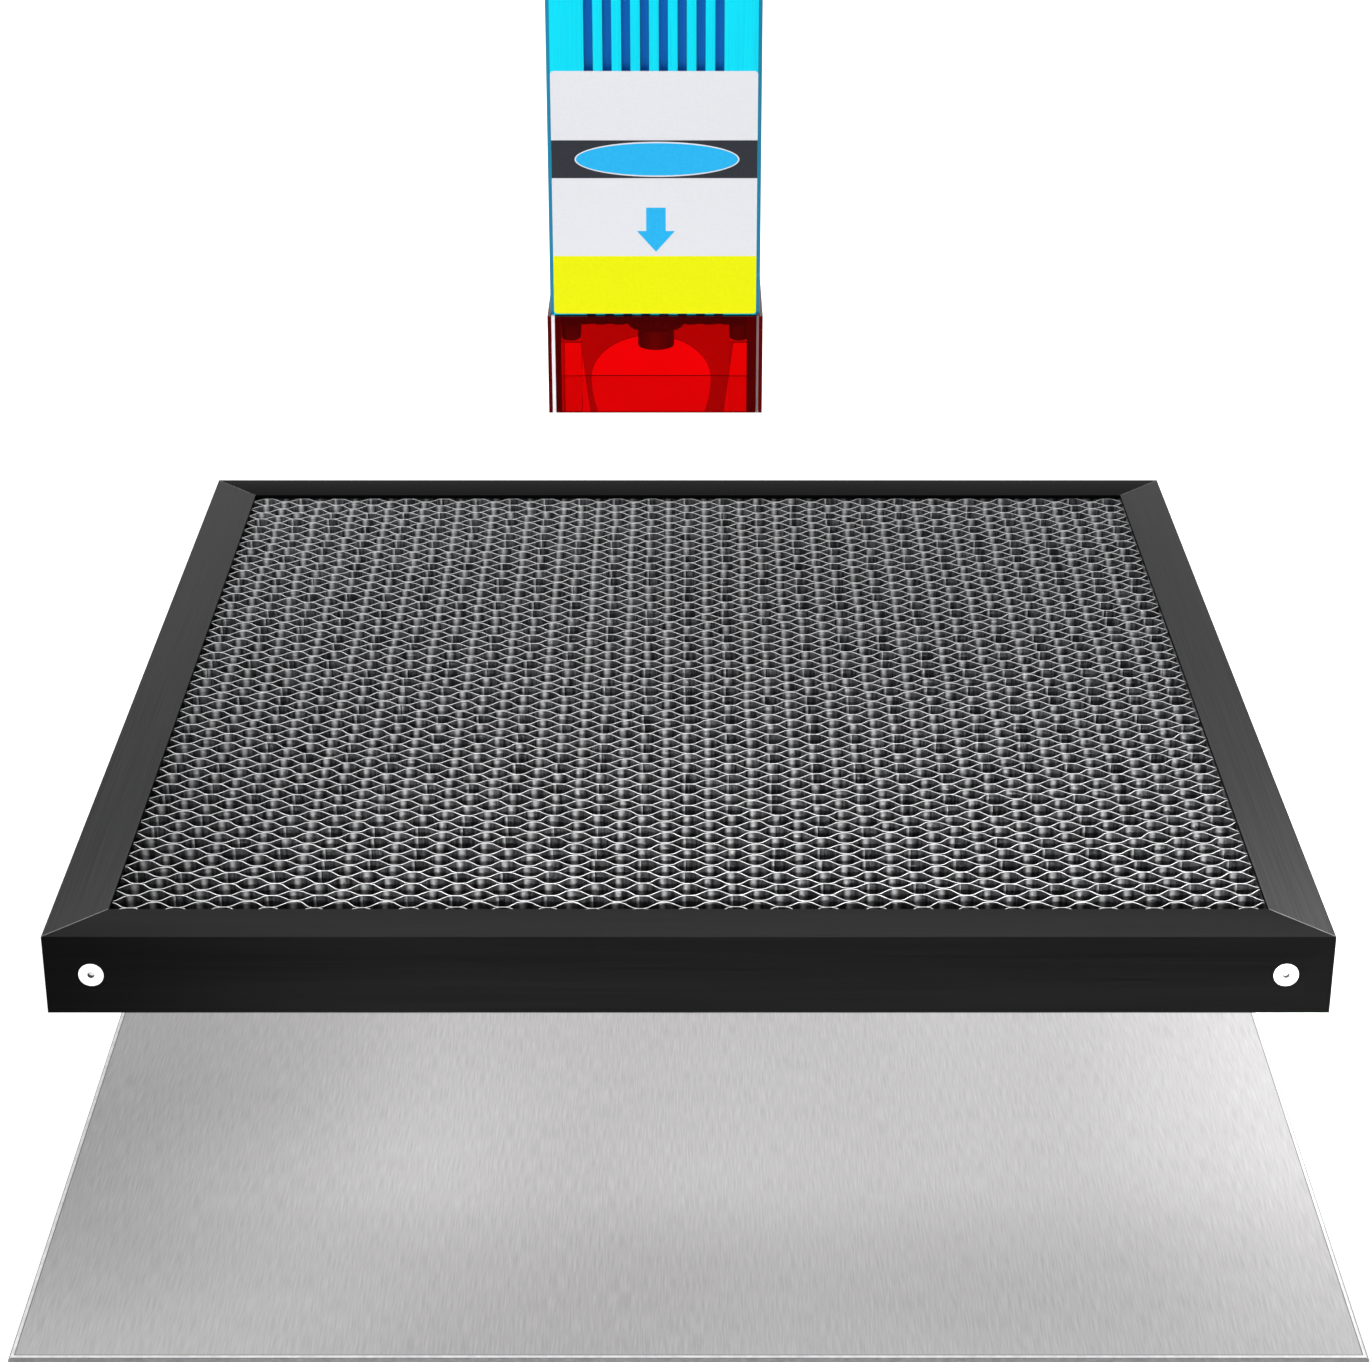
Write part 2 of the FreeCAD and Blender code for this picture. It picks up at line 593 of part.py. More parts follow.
def makeBed():
    quarter = Rotation(Vector(0, 0, 1), 90)
    half = Rotation(Vector(0, 0, 1), 180)
    named("bed_front_bar", bedBar("bed_front", "bedWide", "bedDeep", True))
    rear = named("bed_rear_bar", bedBar("bed_rear", "bedWide", "bedDeep", True))
    rear.Placement = Placement(Vector(), half)
    right = named("bed_right_bar", bedBar("bed_right", "bedDeep", "bedWide", False))
    right.Placement = Placement(Vector(), quarter)
    left = named("bed_left_bar", bedBar("bed_left", "bedDeep", "bedWide", False))
    left.Placement = Placement(Vector(), quarter * half)
    deep = "bedBarWide - bedWall - coreGrip - coreGap"
    inset = "bedWide/2 - bedWall - cornerBlockLong"
    corner = block("corner_block", inset, "0 - bedDeep/2 + bedWall", "coreLow",
                   "cornerBlockLong", deep, "coreTall")
    bore = rod("corner_bore", "y", "bedWide/2 - bedScrewInset", "0 - bedDeep/2",
               "bedLow + bedTall/2", "bedScrewRadius + boltPlay", "bedWall + bedBarWide")
    named("bed_corner_blocks", group("corner_set", four(cut("corner", corner, bore))))
    profile = [("bedSocket", "0"), ("bedScrewHead", "0"), ("bedScrewRadius", "0 - bedWall"),
               ("bedScrewRadius", "0 - bedScrewLong"), ("0", "0 - bedScrewLong"),
               ("0", "0 - bedSocketDeep"), ("bedSocket", "0 - bedSocketDeep")]
    screw = turned("bed_screw", profile, "bedWide/2 - bedScrewInset", "0 - bedDeep/2",
                   "bedLow + bedTall/2", Rotation(Vector(1, 0, 0), 90))
    named("bed_screws", group("screw_set", four(screw)))


def cellWire(x, y, z, long, deep):
    """One six-sided cell, its wire turned to be a hole in an upward face."""
    corners = [(long/2, 0), (long/6, deep/2), (-long/6, deep/2), (-long/2, 0), (-long/6, -deep/2),
               (long/6, -deep/2)]
    wire = Part.makePolygon([Vector(x + across, y + up, z) for across, up in corners + corners[:1]])
    return Part.Wire(wire.reversed())


def makeCore():
    """The honeycomb: a slab pierced by rows of six-sided cells, each second row half a cell over."""
    wide, deep, low, tall = (number(word) for word in ("coreWide", "coreDeep", "coreLow", "coreTall"))
    long, across, wall = sizes["cellLong"], sizes["cellDeep"], sizes["cellWall"]
    stepX = long*4/3 + wall*2
    stepY = (across + wall) / 2
    rows = int((deep - 2*wall - across) / stepY) + 1
    outline = Part.makePolygon([Vector(x*wide/2, y*deep/2, low)
                                for x, y in ((-1, -1), (1, -1), (1, 1), (-1, 1), (-1, -1))])
    holes = []
    for row in range(rows):
        y = (row - (rows - 1)/2) * stepY
        shift = stepX/2 if row % 2 else 0
        reach = wide/2 - wall - long/2
        count = int((reach + shift) / stepX)
        spots = [shift + (i - count)*stepX for i in range(2*count + 1)]
        holes += [cellWire(x, y, low, long, across) for x in spots if abs(x) <= reach]
    face = Part.Face([outline] + holes)
    core = doc.addObject("Part::Feature", "core")
    core.Shape = face.extrude(Vector(0, 0, tall))
    named("honeycomb_core", core)


# ---------------------------------------------------------------- bed lift

def makeLift():
    frontY = "liftY - forkDeep/2"
    bar = middled("fork_bar", "0", "liftY", "forkLow", "forkWide", "forkDeep", "forkTall")
    arm = block("fork_arm", "liftRodMid - armWide/2", f"{frontY} - armReach", "bedLow - armTall",
                "armWide", "armReach + cutOver", "armTall")
    low, through = "forkLow - cutOver", "forkTall + 2*cutOver"
    bores = [rod("fork_bore_mid", "z", "0", "liftY", low, "bushRadius", through)]
    bores += both(rod("fork_bore", "z", "liftRodMid", "liftY", low, "bushRadius", through))
    named("lift_fork", cut("fork", fuse("fork_blank", bar, *both(arm)), *bores))

    def bush(name, x, bore):
        low, flange = "forkLow", "forkLow - bushFlangeTall"
        profile = [(bore, flange), ("bushFlange", flange), ("bushFlange", low), ("bushRadius", low),
                   ("bushRadius", "bushTop"), (bore, "bushTop")]
        return turned(name, profile, x, "liftY")

    bushes = both(bush("bush_rod", "liftRodMid", "liftRodRadius + runFit"))
    bushes.append(bush("bush_nut", "0", "liftScrewRadius + runFit"))
    named("lift_bushings", group("bush_set", bushes))

    foot = "plateTop + liftRodFootTall"
    profile = [("0", "plateTop"), ("liftRodFoot", "plateTop"), ("liftRodFoot", foot),
               ("liftRodRadius", foot), ("liftRodRadius", "liftCapTop"), ("0", "liftCapTop")]
    guide = turned("lift_rod", profile, "liftRodMid", "liftY")
    named("lift_rods", group("lift_rod_pair", both(guide)))

    holes = [("0 - liftRodMid", "liftY", "liftRodRadius"), ("liftRodMid", "liftY", "liftRodRadius"),
             ("0", "liftY", "liftScrewRadius + runFit")]
    edge = rectangle("0 - forkWide/2", "forkWide/2", "liftY - liftCapDeep/2", "liftY + liftCapDeep/2")
    named("lift_top_plate", pad("lift_cap", "XY", edge, "liftCapLow", "liftCapThick", holes))

    named("lift_motor", motor("lift_motor_body", "0", "liftY", "bearerTop", "liftScrewRadius"))
    named("lift_screw", rod("lift_screw_rod", "z", "0", "liftY", "bearerTop - motorLong/2",
                            "liftScrewRadius", "liftCapTop - bearerTop + motorLong/2"))


def squareCorners(across, up, wide, corner):
    """A square with its four corners cut off."""
    near, far = f"{wide}/2 - {corner}", f"{wide}/2"
    steps = [(f"({near})", f"({far})"), (f"({far})", f"({near})")]
    loop = []
    for sideX, sideY, order in (("-", "-", (1, 0)), ("+", "-", (0, 1)), ("+", "+", (1, 0)),
                                ("-", "+", (0, 1))):
        for index in order:
            loop.append((f"{across} {sideX} {steps[index][0]}", f"{up} {sideY} {steps[index][1]}"))
    return loop


def motor(name, x, y, top, bore):
    """A square stepper motor that hangs below its mounting face, with a bore for its shaft."""
    case = pad(name + "_case", "XY", squareCorners(x, y, "motorWide", "motorCorner"),
               f"{top} - motorLong", "motorLong")
    hole = rod(name + "_bore", "z", x, y, f"{top} - motorBore", f"{bore} + runFit", "motorLong")
    return cut(name, case, hole)


# ---------------------------------------------------------------- belts, pulleys, rails

def loopBelt(name, axis, x, y, z, half):
    """A flat belt round two pulleys of the same size, centred on a point.
    An x-axis loop runs along Y round axles along X; a z-axis loop runs along X round upright axles."""
    def slab(tag, radius, extra):
        wide = f"beltWide + {extra}"
        if axis == "x":
            run = middled(f"{name}_{tag}", x, y, f"{z} - ({radius})", wide, f"2*({half})", f"2*({radius})")
            ends = [rod(f"{name}_{tag}_{end}", "x", f"{x} - ({wide})/2", f"{y} {end} ({half})", z,
                        radius, wide) for end in "+-"]
        else:
            run = middled(f"{name}_{tag}", x, y, f"{z} - ({wide})/2", f"2*({half})", f"2*({radius})", wide)
            ends = [rod(f"{name}_{tag}_{end}", "z", f"{x} {end} ({half})", y, f"{z} - ({wide})/2",
                        radius, wide) for end in "+-"]
        return fuse(f"{name}_{tag}_loop", run, *ends)
    return cut(name, slab("outer", "beltOuter", "0"), slab("inner", "beltInner", "2*cutOver"))


def pulley(name, x, y, z, turn=None, below=None, above=None):
    """A toothed pulley centred on a point. It is bored for a shaft, or, where a length below or
    above is given, it is solid with its own axle standing out that far."""
    room, rim = "pulleyRoom/2", "(pulleyRoom/2 + flangeThick)"
    middle = "0" if below or above else "spindle"
    profile = [(middle, f"0 - {rim}")]
    if below:
        profile = [(middle, f"0 - {rim} - ({below})"), ("spindle", f"0 - {rim} - ({below})"),
                   ("spindle", f"0 - {rim}")]
    profile += [("flangeRadius", f"0 - {rim}"), ("flangeRadius", f"0 - {room}"),
                ("toothRadius", f"0 - {room}"), ("toothRadius", room), ("flangeRadius", room),
                ("flangeRadius", rim)]
    if above:
        profile += [("spindle", rim), ("spindle", f"{rim} + ({above})"), (middle, f"{rim} + ({above})")]
    else:
        profile.append((middle, rim))
    body = turned(name, profile, x, y, z, turn)
    flute(body, name + "_teeth", "toothRadius", "toothCut", f"0 - {room}", "pulleyRoom", "toothCount")
    return body


def railCorners(place):
    """A linear rail's section; place maps (across, out) to the sketch's own directions."""
    half, notch = "railWide/2", "railWide/2 - railNotch"
    low, high = "railNotchLow", "railNotchLow + railNotchTall"
    right = [(half, "0"), (half, low), (notch, f"{low} + railNotch/2"), (notch, f"{high} - railNotch/2"),
             (half, high), (half, "railTall")]
    left = [(f"0 - ({across})", out) for across, out in reversed(right)]
    return [place(across, out) for across, out in right + left]


def blockCorners(place):
    """A bearing block's section, with lips that reach into the rail's notches."""
    half, side = "blockWide/2", "railWide/2 + blockFit"
    lip = "railWide/2 - railNotch + blockFit"
    low, high = "railNotchLow + railNotch/2", "railNotchLow + railNotchTall - railNotch/2"
    right = [(half, "blockLow"), (half, "blockOut")]
    left = [(f"0 - {half}", "blockOut"), (f"0 - {half}", "blockLow")]
    inner = [(side, "blockLow"), (side, low), (lip, low), (lip, high), (side, high),
             (side, "railTall + blockFit")]
    leftInner = [(f"0 - ({across})", out) for across, out in inner]
    return [place(across, out) for across, out in right + left + leftInner + list(reversed(inner))]


def makeYDrive():
    def hung(across, out):
        return f"sideMid + ({across})", f"topLow - ({out})"
    rail = pad("y_rail", "XZ", railCorners(hung), "0 - yRailHalf", "2*yRailHalf")
    named("y_rails", group("y_rail_pair", both(rail)))
    carried = pad("y_block", "XZ", blockCorners(hung), "gantryMid - blockLong/2", "blockLong")
    named("y_blocks", group("y_block_pair", both(carried)))

    plate = middled("axle_plate", "sideIn - axleBracketThick/2", "0 - yShaftY",
                    "yShaftZ - axleBracketTall/2", "axleBracketThick", "axleBracketDeep", "axleBracketTall")
    bore = rod("axle_bore", "x", "sideIn - axleBracketThick - cutOver", "0 - yShaftY", "yShaftZ",
               "spindle + runFit", "axleBracketThick + 2*cutOver")
    named("axle_brackets", group("axle_bracket_set", four(cut("axle_bracket", plate, bore))))

    named("y_shaft", rod("y_shaft_rod", "x", "0 - sideIn + runFit", "yShaftY", "yShaftZ", "spindle",
                         "2*(sideIn - runFit)"))
    across = Rotation(Vector(0, 1, 0), 90)
    driven = pulley("y_pulley", "yBeltMid", "yShaftY", "yShaftZ", across)
    named("y_pulleys", group("y_pulley_pair", both(driven)))
    reach = "sideIn - yBeltMid - pulleyRoom/2 - flangeThick - runFit"
    idler = pulley("y_idler", "yBeltMid", "0 - yShaftY", "yShaftZ", across, above=reach)
    named("y_idlers", group("y_idler_pair", both(idler)))
    belt = loopBelt("y_belt", "x", "yBeltMid", "0", "yShaftZ", "yShaftY")
    named("y_belts", group("y_belt_pair", both(belt)))

    section = squareCorners("yShaftY", "yShaftZ", "motorWide", "motorCorner")
    case = pad("y_motor_case", "YZ", section, "yMotorMid - motorLong/2", "motorLong")
    through = rod("y_motor_bore", "x", "yMotorMid - motorLong", "yShaftY", "yShaftZ",
                  "spindle + runFit", "2*motorLong")
    named("y_motor", cut("y_motor_drilled", case, through))


# ---------------------------------------------------------------- gantry

def makeGantry():
    plate = block("end_plate_flat", "frameWide/2 - endPlateLong", "gantryMid - endPlateDeep/2",
                  "gantryTop", "endPlateLong", "endPlateDeep", "endPlateThick")
    left = "yBeltMid - beltWide/2 - beltFit"
    jawWide = "beltWide + 2*beltFit + clampWall"
    low = "yShaftZ - beltOuter - beltFit"
    high = "yShaftZ - beltInner + beltFit"
    clamp, sunk = "beamThin", "endPlateTop - cutOver"
    lower = block("y_clamp_lower", left, f"gantryMid - {clamp}/2", sunk, jawWide, clamp,
                  f"{low} - ({sunk})")
    upper = block("y_clamp_upper", left, f"gantryMid - {clamp}/2", high, jawWide, clamp, "clampWall")
    wall = block("y_clamp_wall", f"{left} + beltWide + 2*beltFit", f"gantryMid - {clamp}/2", sunk,
                 "clampWall", clamp, f"{high} + clampWall - ({sunk})")
    bore = rod("end_plate_bore", "z", "xPulleyMid", "gantryMid", "gantryTop - cutOver",
               "spindle + runFit", "endPlateThick + 2*cutOver")
    whole = cut("end_plate", fuse("end_plate_blank", plate, lower, upper, wall), bore)
    named("end_plates", group("end_plate_pair", both(whole)))

    named("x_beam", beam("x_beam_body", "x", "0 - xBeamLeft", "gantryMid", "gantryLow + beamTall/2",
                         "xBeamLeft + xBeamRight"))

    def faced(across, out):
        return f"gantryFront - ({out})", f"xRailZ + ({across})"
    named("x_rail", pad("x_rail_body", "YZ", railCorners(faced), "0 - xRailLeft", "xRailLeft + xRailRight"))
    named("x_block", pad("x_block_body", "YZ", blockCorners(faced), "headMid - blockLong/2", "blockLong"))
    named("x_motor", motor("x_motor_body", "0 - xPulleyMid", "gantryMid", "gantryTop", "spindle"))

    middle = "xBeltLow + beltWide/2"
    below = "(xBeltLow + beltWide/2) - pulleyRoom/2 - flangeThick"
    named("x_pulley", pulley("x_pulley_body", "0 - xPulleyMid", "gantryMid", middle,
                             below=f"{below} - gantryTop + motorLong/2", above="hubLong/2"))
    named("x_idler", pulley("x_idler_body", "xPulleyMid", "gantryMid", middle,
                            below=f"{below} - gantryTop", above="hubLong/2"))
    named("x_belt", loopBelt("x_belt_loop", "z", "0", "gantryMid", middle, "xPulleyMid"))


def makeCarriage():
    """The upright plate on the X block, with lugs for the head's guide rods and a belt clamp."""
    plate = middled("carriage_flat", "headMid", "carriageFront + carriageThick/2", "carriageLow",
                    "carriageWide", "carriageThick", "carriageTall")
    lugY = "carriageFront - (lugDeep - cutOver)/2"
    lugs = [middled("lug_" + tag, "headMid", lugY, z, "carriageWide", "lugDeep + cutOver", "lugTall")
            for tag, z in (("low", "carriageLow"), ("high", "carriageTop - lugTall"))]
    frontRun = "gantryMid - beltOuter"
    jawLow, jawTall = "xBeltLow - 2*beltSide", "beltWide + 4*beltSide"
    tab = "clampTabWide"
    front = block("x_clamp_front", f"headMid - {tab}/2", f"{frontRun} - beltFit - clampWall", jawLow,
                  tab, "clampWall", jawTall)
    rear = block("x_clamp_rear", f"headMid - {tab}/2", "gantryMid - beltInner + beltFit", jawLow,
                 tab, "clampWall", jawTall)
    bridge = block("x_clamp_bridge", f"headMid - {tab}/2", "carriageBack - cutOver",
                   f"{jawLow} + {jawTall} - cutOver/2", tab,
                   "gantryMid - beltInner + beltFit + clampWall - carriageBack + cutOver", "clampWall")
    low, through = "carriageLow - cutOver", "carriageTall + 2*cutOver"
    holes = both(rod("z_rod_hole", "z", "zRodMid", "zRodY", low, "zRodRadius", through))
    shifted = [put(group("z_rod_holes", holes), "headMid"),
               rod("z_screw_hole", "z", "headMid", "zRodY", low, "zScrewRadius + runFit", through)]
    blank = fuse("carriage_blank", plate, *lugs, front, rear, bridge)
    named("carriage_plate", cut("carriage", cut("carriage_drilled", blank, shifted[0]), shifted[1]))

    rods = both(rod("z_rod", "z", "zRodMid", "zRodY", "carriageLow", "zRodRadius", "carriageTall"))
    named("z_rods", put(group("z_rod_pair", rods), "headMid"))
    named("z_screw", rod("z_screw_rod", "z", "headMid", "zRodY", "carriageLow", "zScrewRadius",
                         "carriageTall + knobTall/2"))
    low, top = "carriageTop + runFit", "carriageTop + runFit + knobTall"
    socket = "carriageTop + knobTall/2 + runFit"
    profile = [("zScrewRadius", low), ("knobRadius", low), ("knobRadius", f"{top} - knobEdge"),
               ("knobRadius - knobEdge", top), ("0", top), ("0", socket), ("zScrewRadius", socket)]
    knob = turned("z_knob_body", profile, "headMid", "zRodY")
    flute(knob, "knob_flutes", "knobRadius", "fluteRadius", f"{low} - cutOver",
          "knobTall + 2*cutOver", "knobFlutes")
    named("z_knob", knob)

    slab = block("slider_flat", "headMid - sliderWide/2", "headBack", "sliderLow", "sliderWide",
                 "carriageFront - sliderGap - headBack", "sliderTall")
    low, through = "sliderLow - cutOver", "sliderTall + 2*cutOver"
    sliding = both(rod("slider_bore", "z", "zRodMid", "zRodY", low, "zRodRadius + runFit", through))
    nut = rod("slider_nut", "z", "headMid", "zRodY", low, "zScrewRadius + runFit", through)
    drilled = cut("slider_drilled", slab, put(group("slider_bores", sliding), "headMid"))
    named("z_slider", cut("slider", drilled, nut))


# ---------------------------------------------------------------- laser head

def roundedBox(left, right, front, back, corner):
    """A rectangle with cut corners."""
    return [(f"{left} + {corner}", front), (f"{right} - {corner}", front), (right, f"{front} + {corner}"),
            (right, f"{back} - {corner}"), (f"{right} - {corner}", back), (f"{left} + {corner}", back),
            (left, f"{back} - {corner}"), (left, f"{front} + {corner}")]


def makeHousing():
    left, right = "headMid - headWide/2", "headMid + headWide/2"
    outline = roundedBox(left, right, "headFront", "headBack", "headCorner")
    rimLow = pad("housing_rim", "XY", rectangle(f"{left} + rimInset", f"{right} - rimInset",
                                                "headFront + rimInset", "headBack - rimInset"),
                 "headLow", "headFloor")
    shell = pad("housing_shell", "XY", outline, "shieldTop + shieldFit",
                "headTop - shieldTop - shieldFit")
    cavity = middled("housing_cavity", "headMid", "headY", "headLow + headFloor",
                     "headWide - 2*headWall", "headDeep - 2*headWall", "headTall")
    low, fullTall = "headLow - cutOver", "headTall + 2*cutOver"
    mouth = rod("housing_mouth", "z", "headMid", "headY", low, "nozzleRadius + runFit",
                "headFloor + 2*cutOver")
    tools = [cavity, mouth]
    for i in range(sizes["grooveCount"]):
        x = f"headMid + ({i} - (grooveCount - 1)/2)*groovePitch"
        tools.append(middled(f"front_groove_{i}", x, "headFront", low, "grooveWide", "2*grooveDeep",
                             fullTall))
    for i in range(sizes["sideGrooveCount"]):
        y = f"headY + ({i} - (sideGrooveCount - 1)/2)*sideGroovePitch"
        for tag, x in (("left", left), ("right", right)):
            tools.append(middled(f"{tag}_groove_{i}", x, y, low, "2*grooveDeep", "grooveWide", fullTall))
    named("head_housing", cut("housing", fuse("housing_blank", rimLow, shell), *tools))
    named("front_label", middled("label", "headMid", "headFront - labelThick/2", "headLow + labelLift",
                                 "labelWide", "labelThick", "labelTall"))


def makeOptics():
    floor = "headLow + headFloor"
    named("diode_module", middled("diode", "headMid", "headY", floor, "diodeWide", "diodeWide", "diodeTall"))
    low = "headLow - nozzleDrop"
    profile = [("nozzleBore", low), ("nozzleRadius", low), ("nozzleRadius", floor), ("0", floor),
               ("0", f"{low} + nozzleBoreDeep"), ("nozzleBore", f"{low} + nozzleBoreDeep")]
    named("lens_nozzle", turned("nozzle", profile, "headMid", "headY"))
    top = "headLow - ringGap"
    bore = "nozzleRadius + runFit"
    ringLow = f"{top} - ringTall"
    ring = turned("ring_body", [(bore, ringLow), ("ringRadius", ringLow), ("ringRadius", top), (bore, top)],
                  "headMid", "headY")
    flute(ring, "ring_flutes", "ringRadius", "toothCut", f"{ringLow} - cutOver",
          "ringTall + 2*cutOver", "ringFlutes")
    named("focus_ring", ring)


def makeFan():
    top = "headTop + coverTall"
    outline = roundedBox("headMid - headWide/2", "headMid + headWide/2", "headFront", "headBack",
                         "headCorner")
    frame = pad("cover_body", "XY", outline, "headTop", "coverTall", [("headMid", "headY", "fanRadius")])
    guard = f"{top} - guardBar"
    span = "2*(fanRadius + cutOver)"
    bars = [middled("guard_bar_x", "headMid", "headY", guard, span, "guardBar", "guardBar"),
            middled("guard_bar_y", "headMid", "headY", guard, "guardBar", span, "guardBar")]
    ring = cut("guard_ring", rod("guard_ring_out", "z", "headMid", "headY", guard, "guardRing", "guardBar"),
               rod("guard_ring_in", "z", "headMid", "headY", f"{guard} - cutOver",
                   "guardRing - guardBar", "guardBar + 2*cutOver"))
    struts = middled("fan_strut", "headMid", "headY", "headTop", span, "2*guardBar", "guardBar")
    disc = rod("fan_disc", "z", "headMid", "headY", "headTop", "fanHub", "guardBar")
    pin = rod("fan_pin", "z", "headMid", "headY", "headTop", "fanPin", "guardBar + fanPinTall")
    named("fan_cover", fuse("cover", frame, *bars, ring, struts, disc, pin))

    low = "headTop + guardBar + fanGap"
    hub = turned("hub", [("fanPin + runFit", low), ("fanHub", low), ("fanHub", f"{low} + fanTall"),
                         ("0", f"{low} + fanTall"), ("0", f"{low} + fanPinTall"),
                         ("fanPin + runFit", f"{low} + fanPinTall")], "headMid", "headY")
    blades = []
    for i in range(sizes["bladeCount"]):
        blade = doc.addObject("Part::Box", f"blade_{i}")
        bind(blade, "Length", "fanTip - fanHub + bladeRoot")
        bind(blade, "Width", "bladeWide")
        bind(blade, "Height", "bladeThick")
        turn = 360 * i / sizes["bladeCount"]
        spin = Rotation(Vector(0, 0, 1), turn) * Rotation(Vector(1, 0, 0), sizes["bladeTilt"])
        reach, side = number("fanHub - bladeRoot"), number("0 - bladeWide/2")
        offset = spin.multVec(Vector(reach, side, 0))
        put(blade, f"headMid + {offset.x}", f"headY + {offset.y}", f"{low} + fanTall/2 + {offset.z}", spin)
        blades.append(blade)
    named("head_fan", fuse("fan", hub, *blades))


def makeShield():
    """The tinted sleeve under the head: open at both ends, its lower edge falling to the back,
    with a round-topped window in the back wall and a corner post under each magnet."""
    front, back = "shieldFront", "shieldFront + shieldDeep"
    frontLow, backLow = "shieldTop - shieldFrontTall", "shieldTop - shieldFrontTall - shieldBackDrop"
    side = [(front, frontLow), (back, backLow), (back, "shieldTop"), (front, "shieldTop")]
    sleeve = pad("shield_block", "YZ", side, "headMid - shieldWide/2", "shieldWide")
    inside = middled("shield_inside", "headMid", "headY", f"{backLow} - cutOver",
                     "shieldWide - 2*shieldWall", "shieldDeep - 2*shieldWall",
                     "shieldFrontTall + shieldBackDrop + 2*cutOver")
    window = rod("shield_window", "y", "headMid", "headY", f"{backLow} + windowTall - windowWide/2",
                 "windowWide/2", "shieldDeep")
    postX = "shieldWide/2 - shieldWall - magnetRadius - magnetInset"
    postY = "shieldFront + shieldWall + magnetRadius"
    magnetLow = "headLow - magnetGap - magnetTall"
    postTall = f"({magnetLow}) - ({frontLow})"
    posts, magnets = [], []
    for tag, sign in (("left", "-"), ("right", "+")):
        x = f"headMid {sign} ({postX})"
        posts.append(middled(f"shield_post_{tag}", x, f"{postY} - postSink", frontLow,
                             "2*magnetRadius", "2*magnetRadius", postTall))
        magnets.append(rod(f"magnet_{tag}", "z", x, postY, magnetLow, "magnetRadius", "magnetTall"))
    hollow = cut("shield_hollow", sleeve, inside)
    named("laser_shield", fuse("shield", cut("shield_open", hollow, window), *posts))
    named("shield_magnets", group("magnet_pair", magnets))


# ---------------------------------------------------------------- control box

